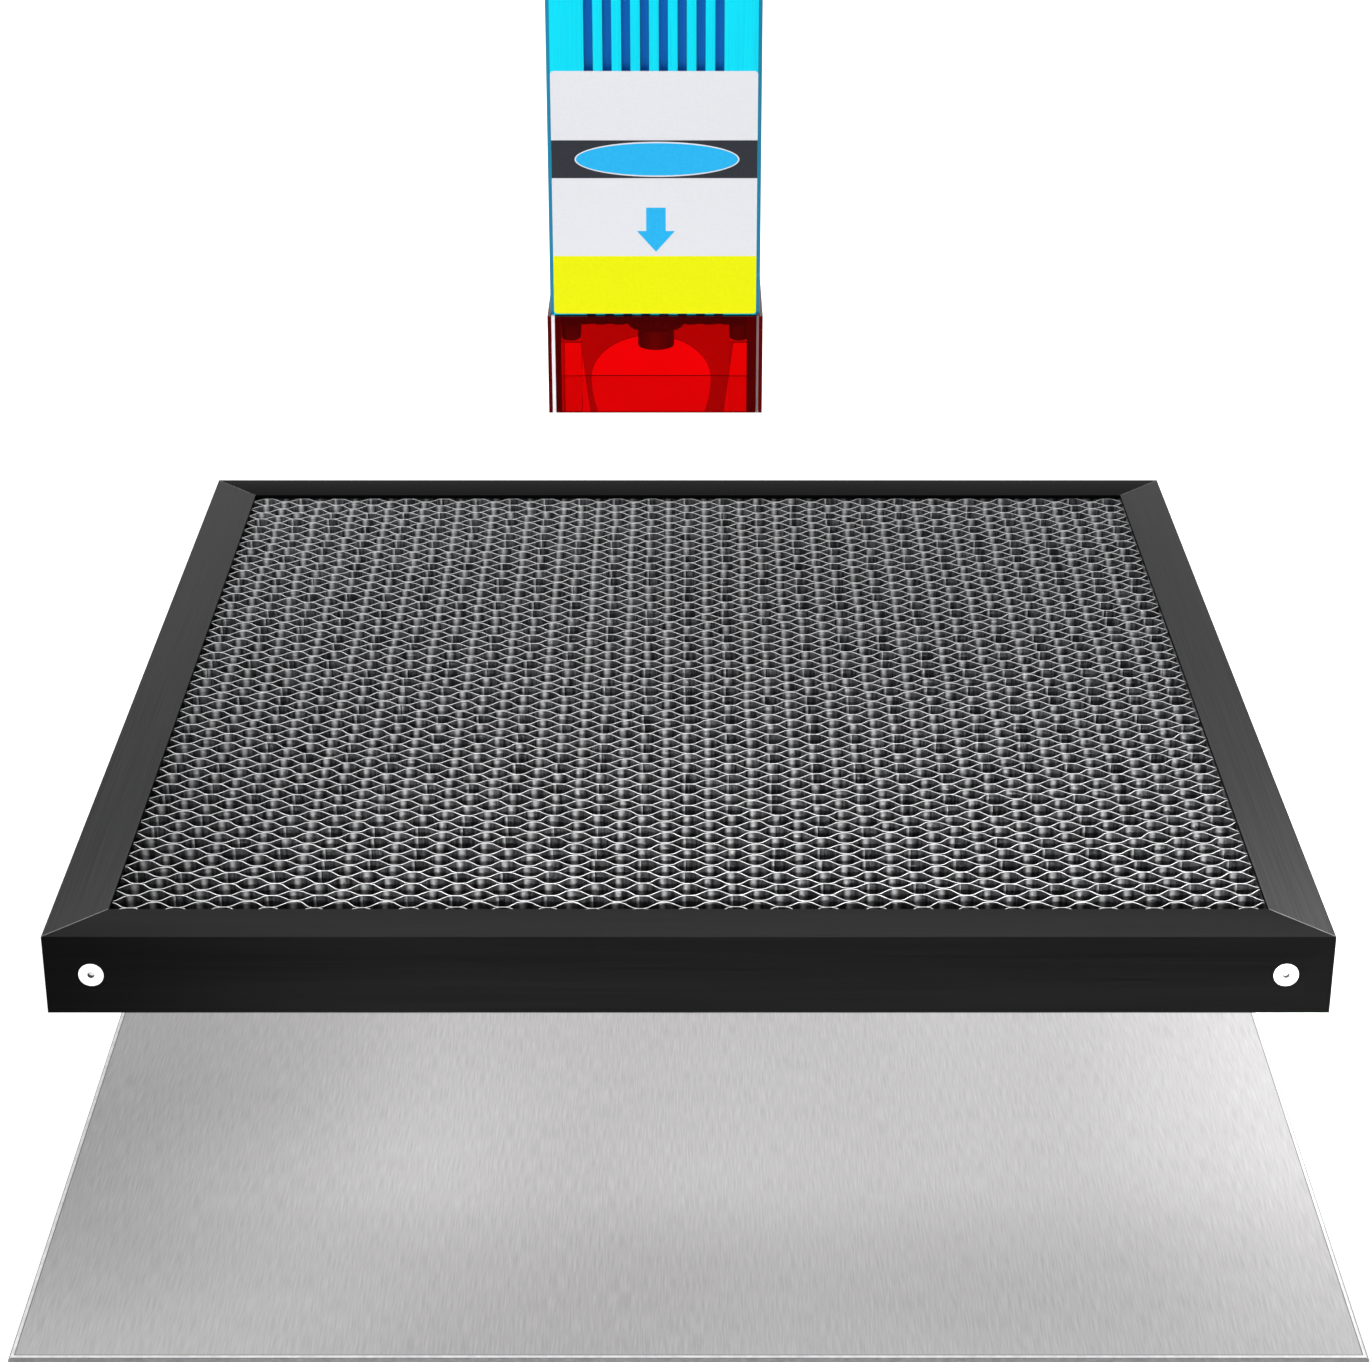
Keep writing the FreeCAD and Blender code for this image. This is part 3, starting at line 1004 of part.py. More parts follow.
def makeControls():
    wall = "boxWall"
    case = block("box_case", "boxLeft", "boxFront", "boxLow", "boxWide", "boxDeep", "boxTall")
    room = block("box_room", f"boxLeft + {wall}", f"boxFront + {wall}", f"boxLow + {wall}",
                 f"boxWide - 2*{wall}", f"boxDeep - 2*{wall}", "boxTall")
    tools = [room]
    jacks = []
    low = "boardLow + boardThick"
    for tag, sign in (("power", "-"), ("data", "+")):
        x = f"boxLeft + boxWide/2 {sign} jackMid"
        tools.append(middled(f"{tag}_opening", x, "boxBack", f"{low} - socketFit",
                             "jackWide + 2*socketFit", f"4*{wall}", "jackTall + 2*socketFit"))
        shell = block(f"{tag}_jack", f"{x} - jackWide/2", "boxBack - jackWide", low, "jackWide",
                      "jackWide", "jackTall")
        hole = block(f"{tag}_socket", f"{x} - jackWide/2 + jackWall", "boxBack - jackWide + 2*jackWall",
                     f"{low} + jackWall", "jackWide - 2*jackWall", "jackWide", "jackTall - 2*jackWall")
        jacks.append(cut(f"{tag}_inlet", shell, hole))
    named("control_box", cut("box", case, *tools))

    sunk, through = "boxTop - cutOver", "lidThick + 2*cutOver"
    holeWide, holeDeep = "rockerWide + 2*rockerFit", "rockerDeep + 2*rockerFit"
    pinHalf = "rockerWide/2 + rockerFit + bezelWall"
    lid = block("lid_flat", "boxLeft", "boxFront", "boxTop", "boxWide", "boxDeep", "lidThick")
    bezel = middled("rocker_bezel", "rockerX", "panelY", "boxTop", f"{holeWide} + 2*bezelWall",
                    f"{holeDeep} + 2*bezelWall", "lidThick + bezelTall")
    tools = [middled("rocker_hole", "rockerX", "panelY", sunk, holeWide, holeDeep,
                     f"{through} + bezelTall"),
             rod("pin_bore", "x", f"rockerX - ({pinHalf}) - cutOver", "panelY", "boxTop + lidThick",
                 "rockerPin + runFit", f"2*({pinHalf} + cutOver)"),
             rod("stem_hole", "z", "buttonX", "panelY", sunk, "buttonStem + runFit", through)]
    named("control_lid", cut("lid", fuse("lid_blank", lid, bezel), *tools))

    board = block("board_flat", f"boxLeft + {wall} + boardMargin", f"boxFront + {wall} + boardMargin",
                  "boardLow", f"boxWide - 2*{wall} - 2*boardMargin",
                  f"boxDeep - {wall} - boardMargin - jackWide/2", "boardThick")
    posts = []
    for tagX, x in (("left", "boxLeft + boardPostInset"), ("right", "sideIn - boardPostInset")):
        for tagY, y in (("front", "boxFront + boardPostInset"), ("back", "boxBack - boardPostBack")):
            posts.append(rod(f"board_post_{tagX}_{tagY}", "z", x, y, f"boxLow + {wall}",
                             "boardPostRadius", "boardPost"))
    chipY = "boxFront + chipBack"
    chips = [middled("chip_main", "boxLeft + boxWide/2", chipY, low, "chipWide", "chipWide", "chipTall"),
             middled("chip_drive", "boxLeft + boxWide/4", chipY, low, "driverWide", "driverDeep",
                     "driverTall")]
    named("main_board", fuse("board", board, *posts, *jacks, *chips))

    half = "rockerDeep/2"
    roof = [(f"0 - {half}", "0 - rockerTall/2"), (half, "0 - rockerTall/2"),
            (half, "rockerTall/2 + rockerHorn"), ("0", "rockerTall/2 - rockerDip"),
            (f"0 - {half}", "rockerTall/2 + rockerHorn")]
    pin = rod("rocker_pin", "x", f"0 - ({pinHalf} - pinShort)", "0", "0", "rockerPin",
              f"2*({pinHalf} - pinShort)")
    rocker = fuse("rocker_whole", pad("rocker", "YZ", roof, "0 - rockerWide/2", "rockerWide"), pin)
    put(rocker, "rockerX", "panelY", "boxTop + lidThick", Rotation(Vector(1, 0, 0), -sizes["rockerTilt"]))
    named("power_rocker", rocker)

    foot, rise = "boxTop + lidThick - stemLong", "boxTop + lidThick + buttonRise"
    top = f"{rise} + buttonTall"
    profile = [("0", foot), ("buttonStem", foot), ("buttonStem", rise), ("buttonRadius", rise),
               ("buttonRadius", f"{top} - buttonEdge"), ("buttonRadius - buttonEdge", top), ("0", top)]
    named("stop_button", turned("button", profile, "buttonX", "panelY"))


# ---------------------------------------------------------------- build, check and write

for make in (makeBeams, makeCaps, makeFeet, makeBrackets, makePlate, makeBed, makeCore, makeLift,
             makeYDrive, makeGantry, makeCarriage, makeHousing, makeOptics, makeFan, makeShield,
             makeControls):
    make()
doc.recompute()

faults = [item.Name for item in doc.Objects if "Invalid" in item.State or "Error" in item.State]
for piece in subparts:
    shape = piece.Shape
    if shape.isNull() or not shape.isValid() or not shape.Solids:
        faults.append(piece.Label)
if faults:
    raise RuntimeError("failed: " + ", ".join(faults))

os.makedirs("parts", exist_ok=True)
for piece in subparts:
    piece.Shape.exportStep(os.path.join("parts", piece.Label + ".step"))
    box = piece.Shape.BoundBox
    print("%-18s %2d solid(s)  x %7.2f %7.2f  y %7.2f %7.2f  z %7.2f %7.2f" % (
        piece.Label, len(piece.Shape.Solids), box.XMin, box.XMax, box.YMin, box.YMax, box.ZMin, box.ZMax))
print(len(subparts), "sub-parts")
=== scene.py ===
import json
import math
import bmesh
import bpy
from mathutils import Matrix, Vector, noise


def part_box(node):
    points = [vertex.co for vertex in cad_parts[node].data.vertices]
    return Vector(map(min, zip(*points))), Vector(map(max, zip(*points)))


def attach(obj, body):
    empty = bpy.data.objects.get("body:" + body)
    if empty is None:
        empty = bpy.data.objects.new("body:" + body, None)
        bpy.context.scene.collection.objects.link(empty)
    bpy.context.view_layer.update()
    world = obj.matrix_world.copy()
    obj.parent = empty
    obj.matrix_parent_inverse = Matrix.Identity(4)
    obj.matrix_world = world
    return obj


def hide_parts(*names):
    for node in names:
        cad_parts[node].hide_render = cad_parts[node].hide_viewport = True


# Desktop laser cutter: the looks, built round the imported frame. Everything is in metres.

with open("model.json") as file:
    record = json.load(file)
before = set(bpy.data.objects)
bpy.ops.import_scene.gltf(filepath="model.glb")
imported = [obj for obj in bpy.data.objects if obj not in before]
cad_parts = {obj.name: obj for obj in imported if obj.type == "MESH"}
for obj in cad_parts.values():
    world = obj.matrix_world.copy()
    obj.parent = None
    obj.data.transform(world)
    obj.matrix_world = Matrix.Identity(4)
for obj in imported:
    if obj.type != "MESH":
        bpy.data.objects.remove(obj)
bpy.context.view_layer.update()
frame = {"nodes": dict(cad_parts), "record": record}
mm = 0.001
bodyOf = {node: body for body, nodes in frame["record"]["behaviour"]["bodies"].items() for node in nodes}


# nodes and colours

def linear(hexColour):
    parts = [int(hexColour[i:i + 2], 16) / 255 for i in (0, 2, 4)]
    return [v / 12.92 if v <= 0.04045 else ((v + 0.055) / 1.055) ** 2.4 for v in parts] + [1]


def addNode(tree, kind, inputs=None, **settings):
    node = tree.nodes.new("ShaderNode" + kind)
    for name, value in settings.items():
        setattr(node, name, value)
    for socket, value in (inputs or {}).items():
        if isinstance(value, bpy.types.NodeSocket):
            tree.links.new(value, node.inputs[socket])
        else:
            node.inputs[socket].default_value = value
    return node


def startMaterial(name, **values):  # a Principled surface with its plain values set on the shader itself
    material = bpy.data.materials.new(name)
    material.use_nodes = True
    tree = material.node_tree
    tree.nodes.clear()
    shader = addNode(tree, "BsdfPrincipled", values)
    addNode(tree, "OutputMaterial", {"Surface": shader.outputs["BSDF"]})
    return material, tree, shader


def stretched(tree, cell):  # object coordinates, scaled to a noise cell given in mm along X, Y and Z
    place = addNode(tree, "TexCoord")
    return addNode(tree, "Mapping", {"Vector": place.outputs["Object"],
                                     "Scale": [1 / (size * mm) for size in cell]}).outputs["Vector"]


def noiseOn(tree, vector, detail=2.0, rough=0.5):
    return addNode(tree, "TexNoise", {"Vector": vector, "Scale": 1, "Detail": detail,
                                      "Roughness": rough}).outputs["Fac"]


def blendColours(tree, factor, low, high, edges=(0.3, 0.7)):
    ramp = addNode(tree, "ValToRGB", {"Fac": factor})
    for stop, place, colour in zip(ramp.color_ramp.elements, edges, (low, high)):
        stop.position, stop.color = place, linear(colour)
    return ramp.outputs["Color"]


def spread(tree, factor, low, high):
    return addNode(tree, "MapRange", {"Value": factor, "To Min": low, "To Max": high}).outputs["Result"]


def roughen(tree, shader, height, depth):  # bump of that depth in millimetres
    bump = addNode(tree, "Bump", {"Height": height, "Distance": depth * mm})
    tree.links.new(bump.outputs["Normal"], shader.inputs["Normal"])


def grained(name, low, high, cell, shine, metal=0.0, depth=0.01, detail=3.0, **values):
    # the common build: one grain drives a small change of colour, gloss and height
    material, tree, shader = startMaterial(name, Metallic=metal, **values)
    grain = noiseOn(tree, stretched(tree, cell), detail)
    tree.links.new(blendColours(tree, grain, low, high), shader.inputs["Base Color"])
    tree.links.new(spread(tree, grain, *shine), shader.inputs["Roughness"])
    roughen(tree, shader, grain, depth)
    return material


# finishes

along = {"X": (60, 0.35, 0.35), "Y": (0.35, 60, 0.35), "Z": (0.35, 0.35, 60)}  # grain cell in mm

# black anodised extrusion: fine die lines run the length of the beam and catch a satin sheen
beamFinish = {axis: grained("anodised extrusion along " + axis, "1d1d1f", "272729", cell, (0.36, 0.48),
                            metal=0.55, depth=0.008) for axis, cell in along.items()}
# satin black anodised flat bar, brushed lengthwise; painted light and shade: front face darkest, side bars
# palest
dullGloss = {"Specular IOR Level": 0.12}
barGloss = {"Specular IOR Level": 0.03}
barTop = {"depth": 0.008, **barGloss}
barLitAndShaded = {
    "face": grained("bar sides painted shade", "030303", "080808", along["X"], (0.5, 0.6), depth=0.006, **barGloss),
    "front": grained("front bar top painted shade", "1a1a1a", "232323", along["X"], (0.45, 0.55), **barTop),
    "left": grained("left bar top painted light", "363636", "404040", along["Y"], (0.42, 0.52), **barTop),
    "right": grained("right bar top painted light", "383838", "424242", along["Y"], (0.42, 0.52), **barTop),
    "rear": grained("rear bar top painted shade", "0f0f0f", "181818", along["X"], (0.45, 0.55), **barTop),
}
# where the saw went through the black at each mitre, a hairline of bare metal shows
sawnEdge = grained("sawn bare edge", "6c6c6d", "8e8e90", (0.6, 0.6, 0.6), (0.4, 0.5), depth=0.004)
# moulded plastic: near black, a fine even texture that spreads every highlight
mouldedBlack = grained("moulded ABS", "161617", "1e1e20", (0.5, 0.5, 0.5), (0.45, 0.6), depth=0.02)
# rubber: the darkest and dullest black, slightly uneven
footRubber = grained("nitrile rubber", "111112", "191919", (1.5, 1.5, 1.5), (0.7, 0.85), depth=0.03)
# powder coat over a casting: soft sheen with a coarse orange peel
castBlack = grained("powder coated casting", "1c1c1e", "272729", (1.2, 1.2, 1.2), (0.38, 0.55), depth=0.06)
# zinc plating: pale, faintly warm, with a smooth bright shine
zincSteel = grained("zinc plated steel", "a7a8a6", "c0c1bd", (1.5, 1.5, 1.5), (0.22, 0.36), 1.0, 0.004)
# milled aluminium: pale and bright, fine cutter lines across the machine
machined = grained("machined aluminium", "a9abae", "c3c5c8", (0.5, 12, 0.5), (0.28, 0.42), 1.0, 0.006)
# enamel: a clean white, smooth and glossy
whiteEnamel = grained("white enamelled steel", "f1f1f1", "ffffff", (1, 1, 1), (0.25, 0.35), depth=0.004)
# sintered bronze: warm brown metal, a little open-pored and dull
bronze = grained("sintered bronze", "8d6b3a", "a88449", (0.4, 0.4, 0.4), (0.35, 0.5), 1.0, 0.01)
# ground rod: the brightest steel, almost a mirror
groundSteel = grained("ground steel", "b1b3b6", "c6c8cb", (0.3, 0.3, 0.6), (0.16, 0.26), 1.0, 0.002)
# ground bearing block: bright steel with fine lines across
blockSteel = grained("ground block steel", "9fa1a4", "b7b9bb", (8, 0.4, 8), (0.25, 0.36), 1.0, 0.003)
# turned pulleys: pale metal with a fine even grain
turnedAluminium = grained("turned aluminium", "b5b7ba", "cccdd0", (0.25, 0.25, 0.25), (0.25, 0.38), 1.0,
                          0.004)
# belt rubber: dull black
beltRubber = grained("neoprene belt", "101011", "1a1a1b", (0.8, 0.8, 0.8), (0.6, 0.75), depth=0.02)
# bead blasted, then anodised plate: an even matt black with a faint metallic sheen
blastedBlack = grained("blasted black anodised plate", "1d1d1f", "2a2a2c", (0.3, 0.3, 0.3), (0.42, 0.55),
                       0.5, 0.01)
# turned and anodised knobs: black metal that still takes a clear highlight
knobBlack = grained("turned black anodised", "222224", "333336", (0.3, 0.3, 0.2), (0.25, 0.4), 0.7, 0.006)
# blasted aluminium nozzle: mid grey, soft and even
nozzleGrey = grained("bead blasted aluminium", "6c6c70", "808085", (0.3, 0.3, 0.3), (0.4, 0.5), 0.4, 0.006)
# machined copper: warm, with lines along the module
copper = grained("machined copper", "b0643c", "c97c50", (0.4, 0.4, 6), (0.25, 0.4), 1.0, 0.005)
# plated magnets: dark, smooth and shiny
darkMagnetMetal = grained("dark magnet metal", "3a3938", "55534f", (2, 2, 2), (0.12, 0.22), 1.0, 0.002)
# powder coated sheet: black with a visible orange peel
powderBlack = grained("powder coated steel", "1a1a1c", "242427", (1.1, 1.1, 1.1), (0.4, 0.52), depth=0.05)
# circuit board: glossy dark green, mottled
solderMask = grained("solder mask", "0d4a26", "12602f", (2.2, 2.2, 0.4), (0.3, 0.45), depth=0.03)
# polished nylon rocker: deep black and glossy
switchBlack = grained("polished black nylon", "0f0f10", "161617", (1, 1, 1), (0.18, 0.3), depth=0.004)
# polished nylon button: strong red with a soft gloss
buttonRed = grained("polished red nylon", "b8140f", "c61913", (1.4, 1.4, 1.4), (0.22, 0.3), depth=0.002)
# moulded nylon socket: warm white, satin
plugNylon = grained("white moulded nylon", "d8d5cb", "e6e3da", (0.6, 0.6, 0.6), (0.4, 0.5), depth=0.01)
# gold flashed pins: small bright yellow points
pinGold = grained("gold flashed pin", "b08a3c", "c9a352", (0.5, 0.5, 0.5), (0.2, 0.3), 1.0, 0.002)
# black oxide screws: blue-black steel with a satin shine
blackOxide = grained("black oxide steel", "17171a", "232327", (0.6, 0.6, 0.6), (0.3, 0.42), 0.8, 0.004)


def brushedPlate():  # pale brushed aluminium with a matt clear coat: grain front to back, faint clouds
    material, tree, shader = startMaterial("brushed aluminium sheet", Metallic=0.12)
    fine = noiseOn(tree, stretched(tree, (0.5, 11, 0.5)), 4)
    cloud = noiseOn(tree, stretched(tree, (110, 150, 110)), 1)
    faint = addNode(tree, "Math", {0: cloud, 1: 0.3}, operation="MULTIPLY").outputs[0]
    mixed = addNode(tree, "Math", {0: fine, 1: 0.7, 2: faint}, operation="MULTIPLY_ADD").outputs[0]
    tree.links.new(blendColours(tree, mixed, "a6a4a5", "bdbcbc", (0.35, 0.65)), shader.inputs["Base Color"])
    tree.links.new(spread(tree, fine, 0.42, 0.55), shader.inputs["Roughness"])
    roughen(tree, shader, fine, 0.012)
    return material


def anodisedBlue(name, low, high):  # dyed anodising, brushed upwards: fine upright lines, a satin gloss
    return grained(name, low, high, (0.35, 0.35, 45), (0.35, 0.48), 0.1, 0.008, **dullGloss)


# painted shade: mm below the rims; shares of colour left there on wall and streak, and along the front
foilShading = {"deep": 6, "wall": 0.2, "streak": 0.85, "front": 0.14}


def withFoilShading(tree, colour, foot):  # painted shade: the foil's colour darkens below its rims and towards the front
    low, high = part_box("honeycomb_core")
    place = addNode(tree, "TexCoord")
    spot = addNode(tree, "SeparateXYZ", {"Vector": place.outputs["Object"]})
    upward = addNode(tree, "MapRange", {"Value": spot.outputs["Z"], "From Min": high.z - foilShading["deep"] * mm,
                                        "From Max": high.z, "To Min": foot}).outputs["Result"]
    backward = addNode(tree, "MapRange", {"Value": spot.outputs["Y"], "From Min": low.y, "From Max": high.y,
                                          "To Min": foilShading["front"]}).outputs["Result"]
    clean = addNode(tree, "Math", {0: upward, 1: backward}, operation="MULTIPLY").outputs[0]
    return addNode(tree, "VectorMath", {0: colour, "Scale": clean}, operation="SCALE").outputs["Vector"]


def foil():  # buckled aluminium foil: grey, with a painted highlight, a pale upright streak near one end of each bond
    material, tree, shader = startMaterial("foil wall painted shade and streak highlight")
    streak = noiseOn(tree, stretched(tree, (1.6, 1.6, 22)), 3, 0.6)
    buckled = blendColours(tree, streak, "48494c", "b8babe", (0.4, 0.75))
    glint = addNode(tree, "Attribute", attribute_name="glint").outputs["Fac"]
    streakHighlight = addNode(tree, "MapRange", {"Value": glint}, interpolation_type="SMOOTHSTEP").outputs["Result"]
    pale = blendColours(tree, noiseOn(tree, stretched(tree, (0.6, 0.6, 5)), 3), "ececef", "ffffff")
    dull, bright = withFoilShading(tree, buckled, foilShading["wall"]), withFoilShading(tree, pale, foilShading["streak"])
    mixed = addNode(tree, "Mix", {0: streakHighlight, 4: dull, 5: bright}, data_type="VECTOR").outputs[1]
    tree.links.new(mixed, shader.inputs["Base Color"])
    tree.links.new(spread(tree, streakHighlight, 0.5, 0.0), shader.inputs["Metallic"])
    tree.links.new(spread(tree, streak, 0.4, 0.22), shader.inputs["Roughness"])
    roughen(tree, shader, noiseOn(tree, stretched(tree, (7, 7, 0.9)), 2), 0.3)
    return material


def foilEdge():  # the sawn top of the foil: bright as a painted highlight, with painted glints here and there
    material, tree, shader = startMaterial("foil edge painted highlight", Metallic=0.1)
    glint = noiseOn(tree, stretched(tree, (2.4, 2.4, 2.4)), 3)
    tree.links.new(blendColours(tree, glint, "dcdddf", "ffffff", (0.35, 0.6)), shader.inputs["Base Color"])
    tree.links.new(spread(tree, glint, 0.35, 0.2), shader.inputs["Roughness"])
    roughen(tree, shader, glint, 0.06)
    return material


def redAcrylic(name, low, high, clear=1.0, index=1.49):  # cast acrylic tinted red: smooth, see-through
    material, tree, shader = startMaterial(name, **{"Transmission Weight": clear, "IOR": index,
                                                    "Specular Tint": linear("c81a1a")})
    ripple = noiseOn(tree, stretched(tree, (14, 14, 14)), 1)
    tree.links.new(blendColours(tree, ripple, low, high), shader.inputs["Base Color"])
    tree.links.new(spread(tree, ripple, 0.0, 0.03), shader.inputs["Roughness"])
    return material


def printed(name, colour, shade):  # screen-printed ink on a gloss film: even, with the film's faint mottle
    return grained(name, shade, colour, (0.8, 0.8, 0.8), (0.4, 0.48), depth=0.002, **dullGloss)


finishes = {
    "plate": brushedPlate(), "foil": foil(), "foilEdge": foilEdge(),
    # the plate's rim: a strip of painted highlight between two hairlines of painted shade
    "plateRimShade": grained("plate rim painted shade line", "6a6a6b", "7c7c7d", (2, 2, 2), (0.4, 0.5)),
    "plateEdge": grained("plate rim painted highlight", "d6d6d7", "f0f0f0", (3, 3, 3), (0.3, 0.4), 0.1, 0.005),
    # the housing: vivid sky blue outside; painted shade gives the grooves deep blue and the corners that
    # turn away teal
    "blue": anodisedBlue("sky blue anodised", "00daf8", "02ebff"),
    "groove": anodisedBlue("groove painted shade blue", "0072c8", "0082d6"),
    "corner": anodisedBlue("corner painted shade teal", "0c7fa6", "1790b6"),
    # screw sockets: painted shade darkens the hole, and a painted highlight brightens its floor in the bed
    # screws
    "socket": grained("socket painted shade", "1a1a1a", "2c2c2c", (0.4, 0.4, 0.4), (0.4, 0.5)),
    "socketFloorHighlight": grained("socket floor painted highlight", "b4b4b4", "d8d8d8", (0.6, 0.6, 0.6), (0.3, 0.4)),
    # tinted acrylic: a glowing red front, a back darkened by painted shade, a faint lip, the sides darkest
    # by painted shade
    "frontAcrylic": redAcrylic("red acrylic front", "d40002", "d80003"),
    "backAcrylic": redAcrylic("red acrylic back painted shade", "b00406", "b60507"),
    "lipAcrylic": redAcrylic("red acrylic lip", "e6e0e0", "ebe5e5", index=1.06),
    "sideAcrylic": redAcrylic("red acrylic side painted shade", "4a0709", "560a0c", 0.5),
    "postAcrylic": redAcrylic("pale red acrylic", "f2a0a0", "f6a8a8", index=1.06),
    # matt dark red strips line the front corners; a polished edge is painted near white as a glint, a dull
    # one is grey
    "stripAcrylic": grained("dark red corner strip", "2c0305", "4a0608", (1.5, 1.5, 30), (0.5, 0.6)),
    "cutAcrylic": grained("acrylic edge painted glint", "fdeef6", "ffffff", (4, 4, 4), (0.2, 0.3), depth=0.002),
    "dullAcrylic": grained("dull acrylic edge", "6e5a5c", "7c686a", (4, 4, 4), (0.3, 0.4), depth=0.002),
    # printed film and inks: flat, clean colours
    "labelWhite": printed("white label film", "f2f3f8", "eeeff4"),
    "labelDark": printed("charcoal ink", "33363d", "2f3239"),
    "labelBlue": printed("sky blue ink", "2dc2ff", "28bafa"),
    "labelYellow": printed("yellow ink", "fcff00", "f6fa00"),
}
print("finishes ready")


# making pieces

clean = {"double": 0.001, "flat": 1, "bevel": 32}  # mm between doubles; degrees of a flat face, of an edge
sliver = 0.01 * mm  # an inset too fine to see, so that a pocket's walls stand upright


def finishPiece(bm, name, body, materials, replaced=(), sharp=30):
    mesh = bpy.data.meshes.new(name)
    bm.to_mesh(mesh)
    bm.free()
    mesh.shade_smooth()
    mesh.set_sharp_from_angle(angle=math.radians(sharp))
    piece = bpy.data.objects.new(name, mesh)
    bpy.context.scene.collection.objects.link(piece)
    for material in materials:
        mesh.materials.append(material)
    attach(piece, body)
    if replaced:
        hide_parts(*replaced)
    return piece


def nodeCopy(node):  # the node's own surface with its doubles merged and its flat faces whole
    bm = bmesh.new()
    bm.from_mesh(frame["nodes"][node].data)
    bmesh.ops.remove_doubles(bm, verts=bm.verts, dist=clean["double"] * mm)
    bmesh.ops.dissolve_limit(bm, angle_limit=math.radians(clean["flat"]), verts=bm.verts, edges=bm.edges)
    return bm


def softenEdges(bm, width):
    edges = [edge for edge in bm.edges if len(edge.link_faces) == 2
             and edge.calc_face_angle(0) > math.radians(clean["bevel"])]
    bmesh.ops.bevel(bm, geom=edges, offset=width * mm, affect="EDGES", segments=2, profile=0.5,
                    material=-1, clamp_overlap=True)


def softened(node, width, material):
    bm = nodeCopy(node)
    softenEdges(bm, width)
    return finishPiece(bm, node + "_form", bodyOf[node], [material], [node])


forms = {  # node: edge radius in mm and finish
    "front_base_beam": (0.3, beamFinish["X"]), "rear_tie_beam": (0.3, beamFinish["X"]),
    "cross_top_beams": (0.3, beamFinish["X"]), "x_beam": (0.3, beamFinish["X"]),
    "side_base_rails": (0.3, beamFinish["Y"]), "side_top_rails": (0.3, beamFinish["Y"]),
    "plate_bearers": (0.3, beamFinish["Y"]), "corner_posts": (0.3, beamFinish["Z"]),
    "beam_end_caps": (0.5, mouldedBlack), "levelling_feet": (0.5, footRubber),
    "corner_brackets": (0.5, castBlack), "axle_brackets": (0.4, castBlack),
    "bed_corner_blocks": (0.4, machined), "lift_fork": (0.6, machined),
    "lift_top_plate": (0.5, machined), "z_slider": (0.5, machined), "lift_bushings": (0.3, bronze),
    "lift_rods": (0.3, groundSteel), "y_shaft": (0.2, groundSteel), "z_rods": (0.3, groundSteel),
    "y_rails": (0.2, groundSteel), "x_rail": (0.2, groundSteel),
    "y_blocks": (0.4, blockSteel), "x_block": (0.4, blockSteel),
    "end_plates": (0.5, blastedBlack), "carriage_plate": (0.5, blastedBlack),
    "z_knob": (0.2, knobBlack), "focus_ring": (0.15, knobBlack), "lens_nozzle": (0.3, nozzleGrey),
    "diode_module": (0.3, copper), "shield_magnets": (0.5, darkMagnetMetal),
    "fan_cover": (0.4, mouldedBlack),
    "control_box": (0.8, powderBlack), "control_lid": (0.5, powderBlack),
    "main_board": (0.1, solderMask), "power_rocker": (0.4, switchBlack), "stop_button": (0.8, buttonRed),
}
for node, (width, material) in forms.items():
    softened(node, width, material)
print("soft-edged forms:", len(forms))

plain = {"y_pulleys": turnedAluminium, "y_idlers": turnedAluminium, "x_pulley": turnedAluminium,
         "x_idler": turnedAluminium, "y_belts": beltRubber, "x_belt": beltRubber,
         "lift_screw": groundSteel, "z_screw": groundSteel, "head_fan": mouldedBlack}
for node, material in plain.items():
    data = frame["nodes"][node].data
    data.materials.clear()
    data.materials.append(material)


# bed bars, plate, screws, housing and motors: the node's own form, its faces told apart

def sortedForm(node, width, materials, pick):  # pick gives each face of the softened form its material
    bm = nodeCopy(node)
    softenEdges(bm, width)
    bm.normal_update()
    for face in bm.faces:
        face.material_index = pick(face.calc_center_median(), face.normal)
    return finishPiece(bm, node + "_form", bodyOf[node], materials, [node])


# how much of a face's unit normal lies along an axis, for the face to count as such
leaning = {"bevel": 0.2, "corner": 0.3, "upright": 0.5, "top": 0.6, "flat": 0.7}


def barFace(centre, normal):  # the bare edge where bevels meet at a mitre, else the top, or the sides in painted shade
    if min(normal.z, abs(normal.x), abs(normal.y)) > leaning["bevel"]:
        return 2
    return int(normal.z > leaning["top"])


# each bar's top takes its own painted light or shade, and its sides painted shade
for side in ("front", "rear", "left", "right"):
    sortedForm("bed_" + side + "_bar", 0.25, [barLitAndShaded["face"], barLitAndShaded[side], sawnEdge], barFace)

rimBands = (0.35, 1.5, 1.85)  # mm in from the plate's edge: painted shade hairline, painted highlight strip, painted shade hairline


def makePlate():
    low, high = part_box("base_plate")
    bm = nodeCopy("base_plate")
    for axis in (0, 1):
        normal = Vector([float(i == axis) for i in range(3)])
        for inset in rimBands:
            for edge in (low[axis] + inset * mm, high[axis] - inset * mm):
                bmesh.ops.bisect_plane(bm, geom=bm.verts[:] + bm.edges[:] + bm.faces[:],
                                       plane_co=normal * edge, plane_no=normal)
    # each face of the rim takes its band of painted highlight or painted shade
    for face in bm.faces:
        spot = face.calc_center_median()
        inset = min(spot.x - low.x, high.x - spot.x, spot.y - low.y, high.y - spot.y) / mm
        face.material_index = (2, 1, 2, 0)[sum(inset > step for step in rimBands)]
    finishPiece(bm, "base_plate_form", bodyOf["base_plate"],
                [finishes["plate"], finishes["plateEdge"], finishes["plateRimShade"]], ["base_plate"])


makePlate()

screw = {"socketRadius": 1.15, "faceDepth": 0.02}  # mm
screwLow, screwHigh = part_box("bed_screws")
houseLow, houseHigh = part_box("head_housing")


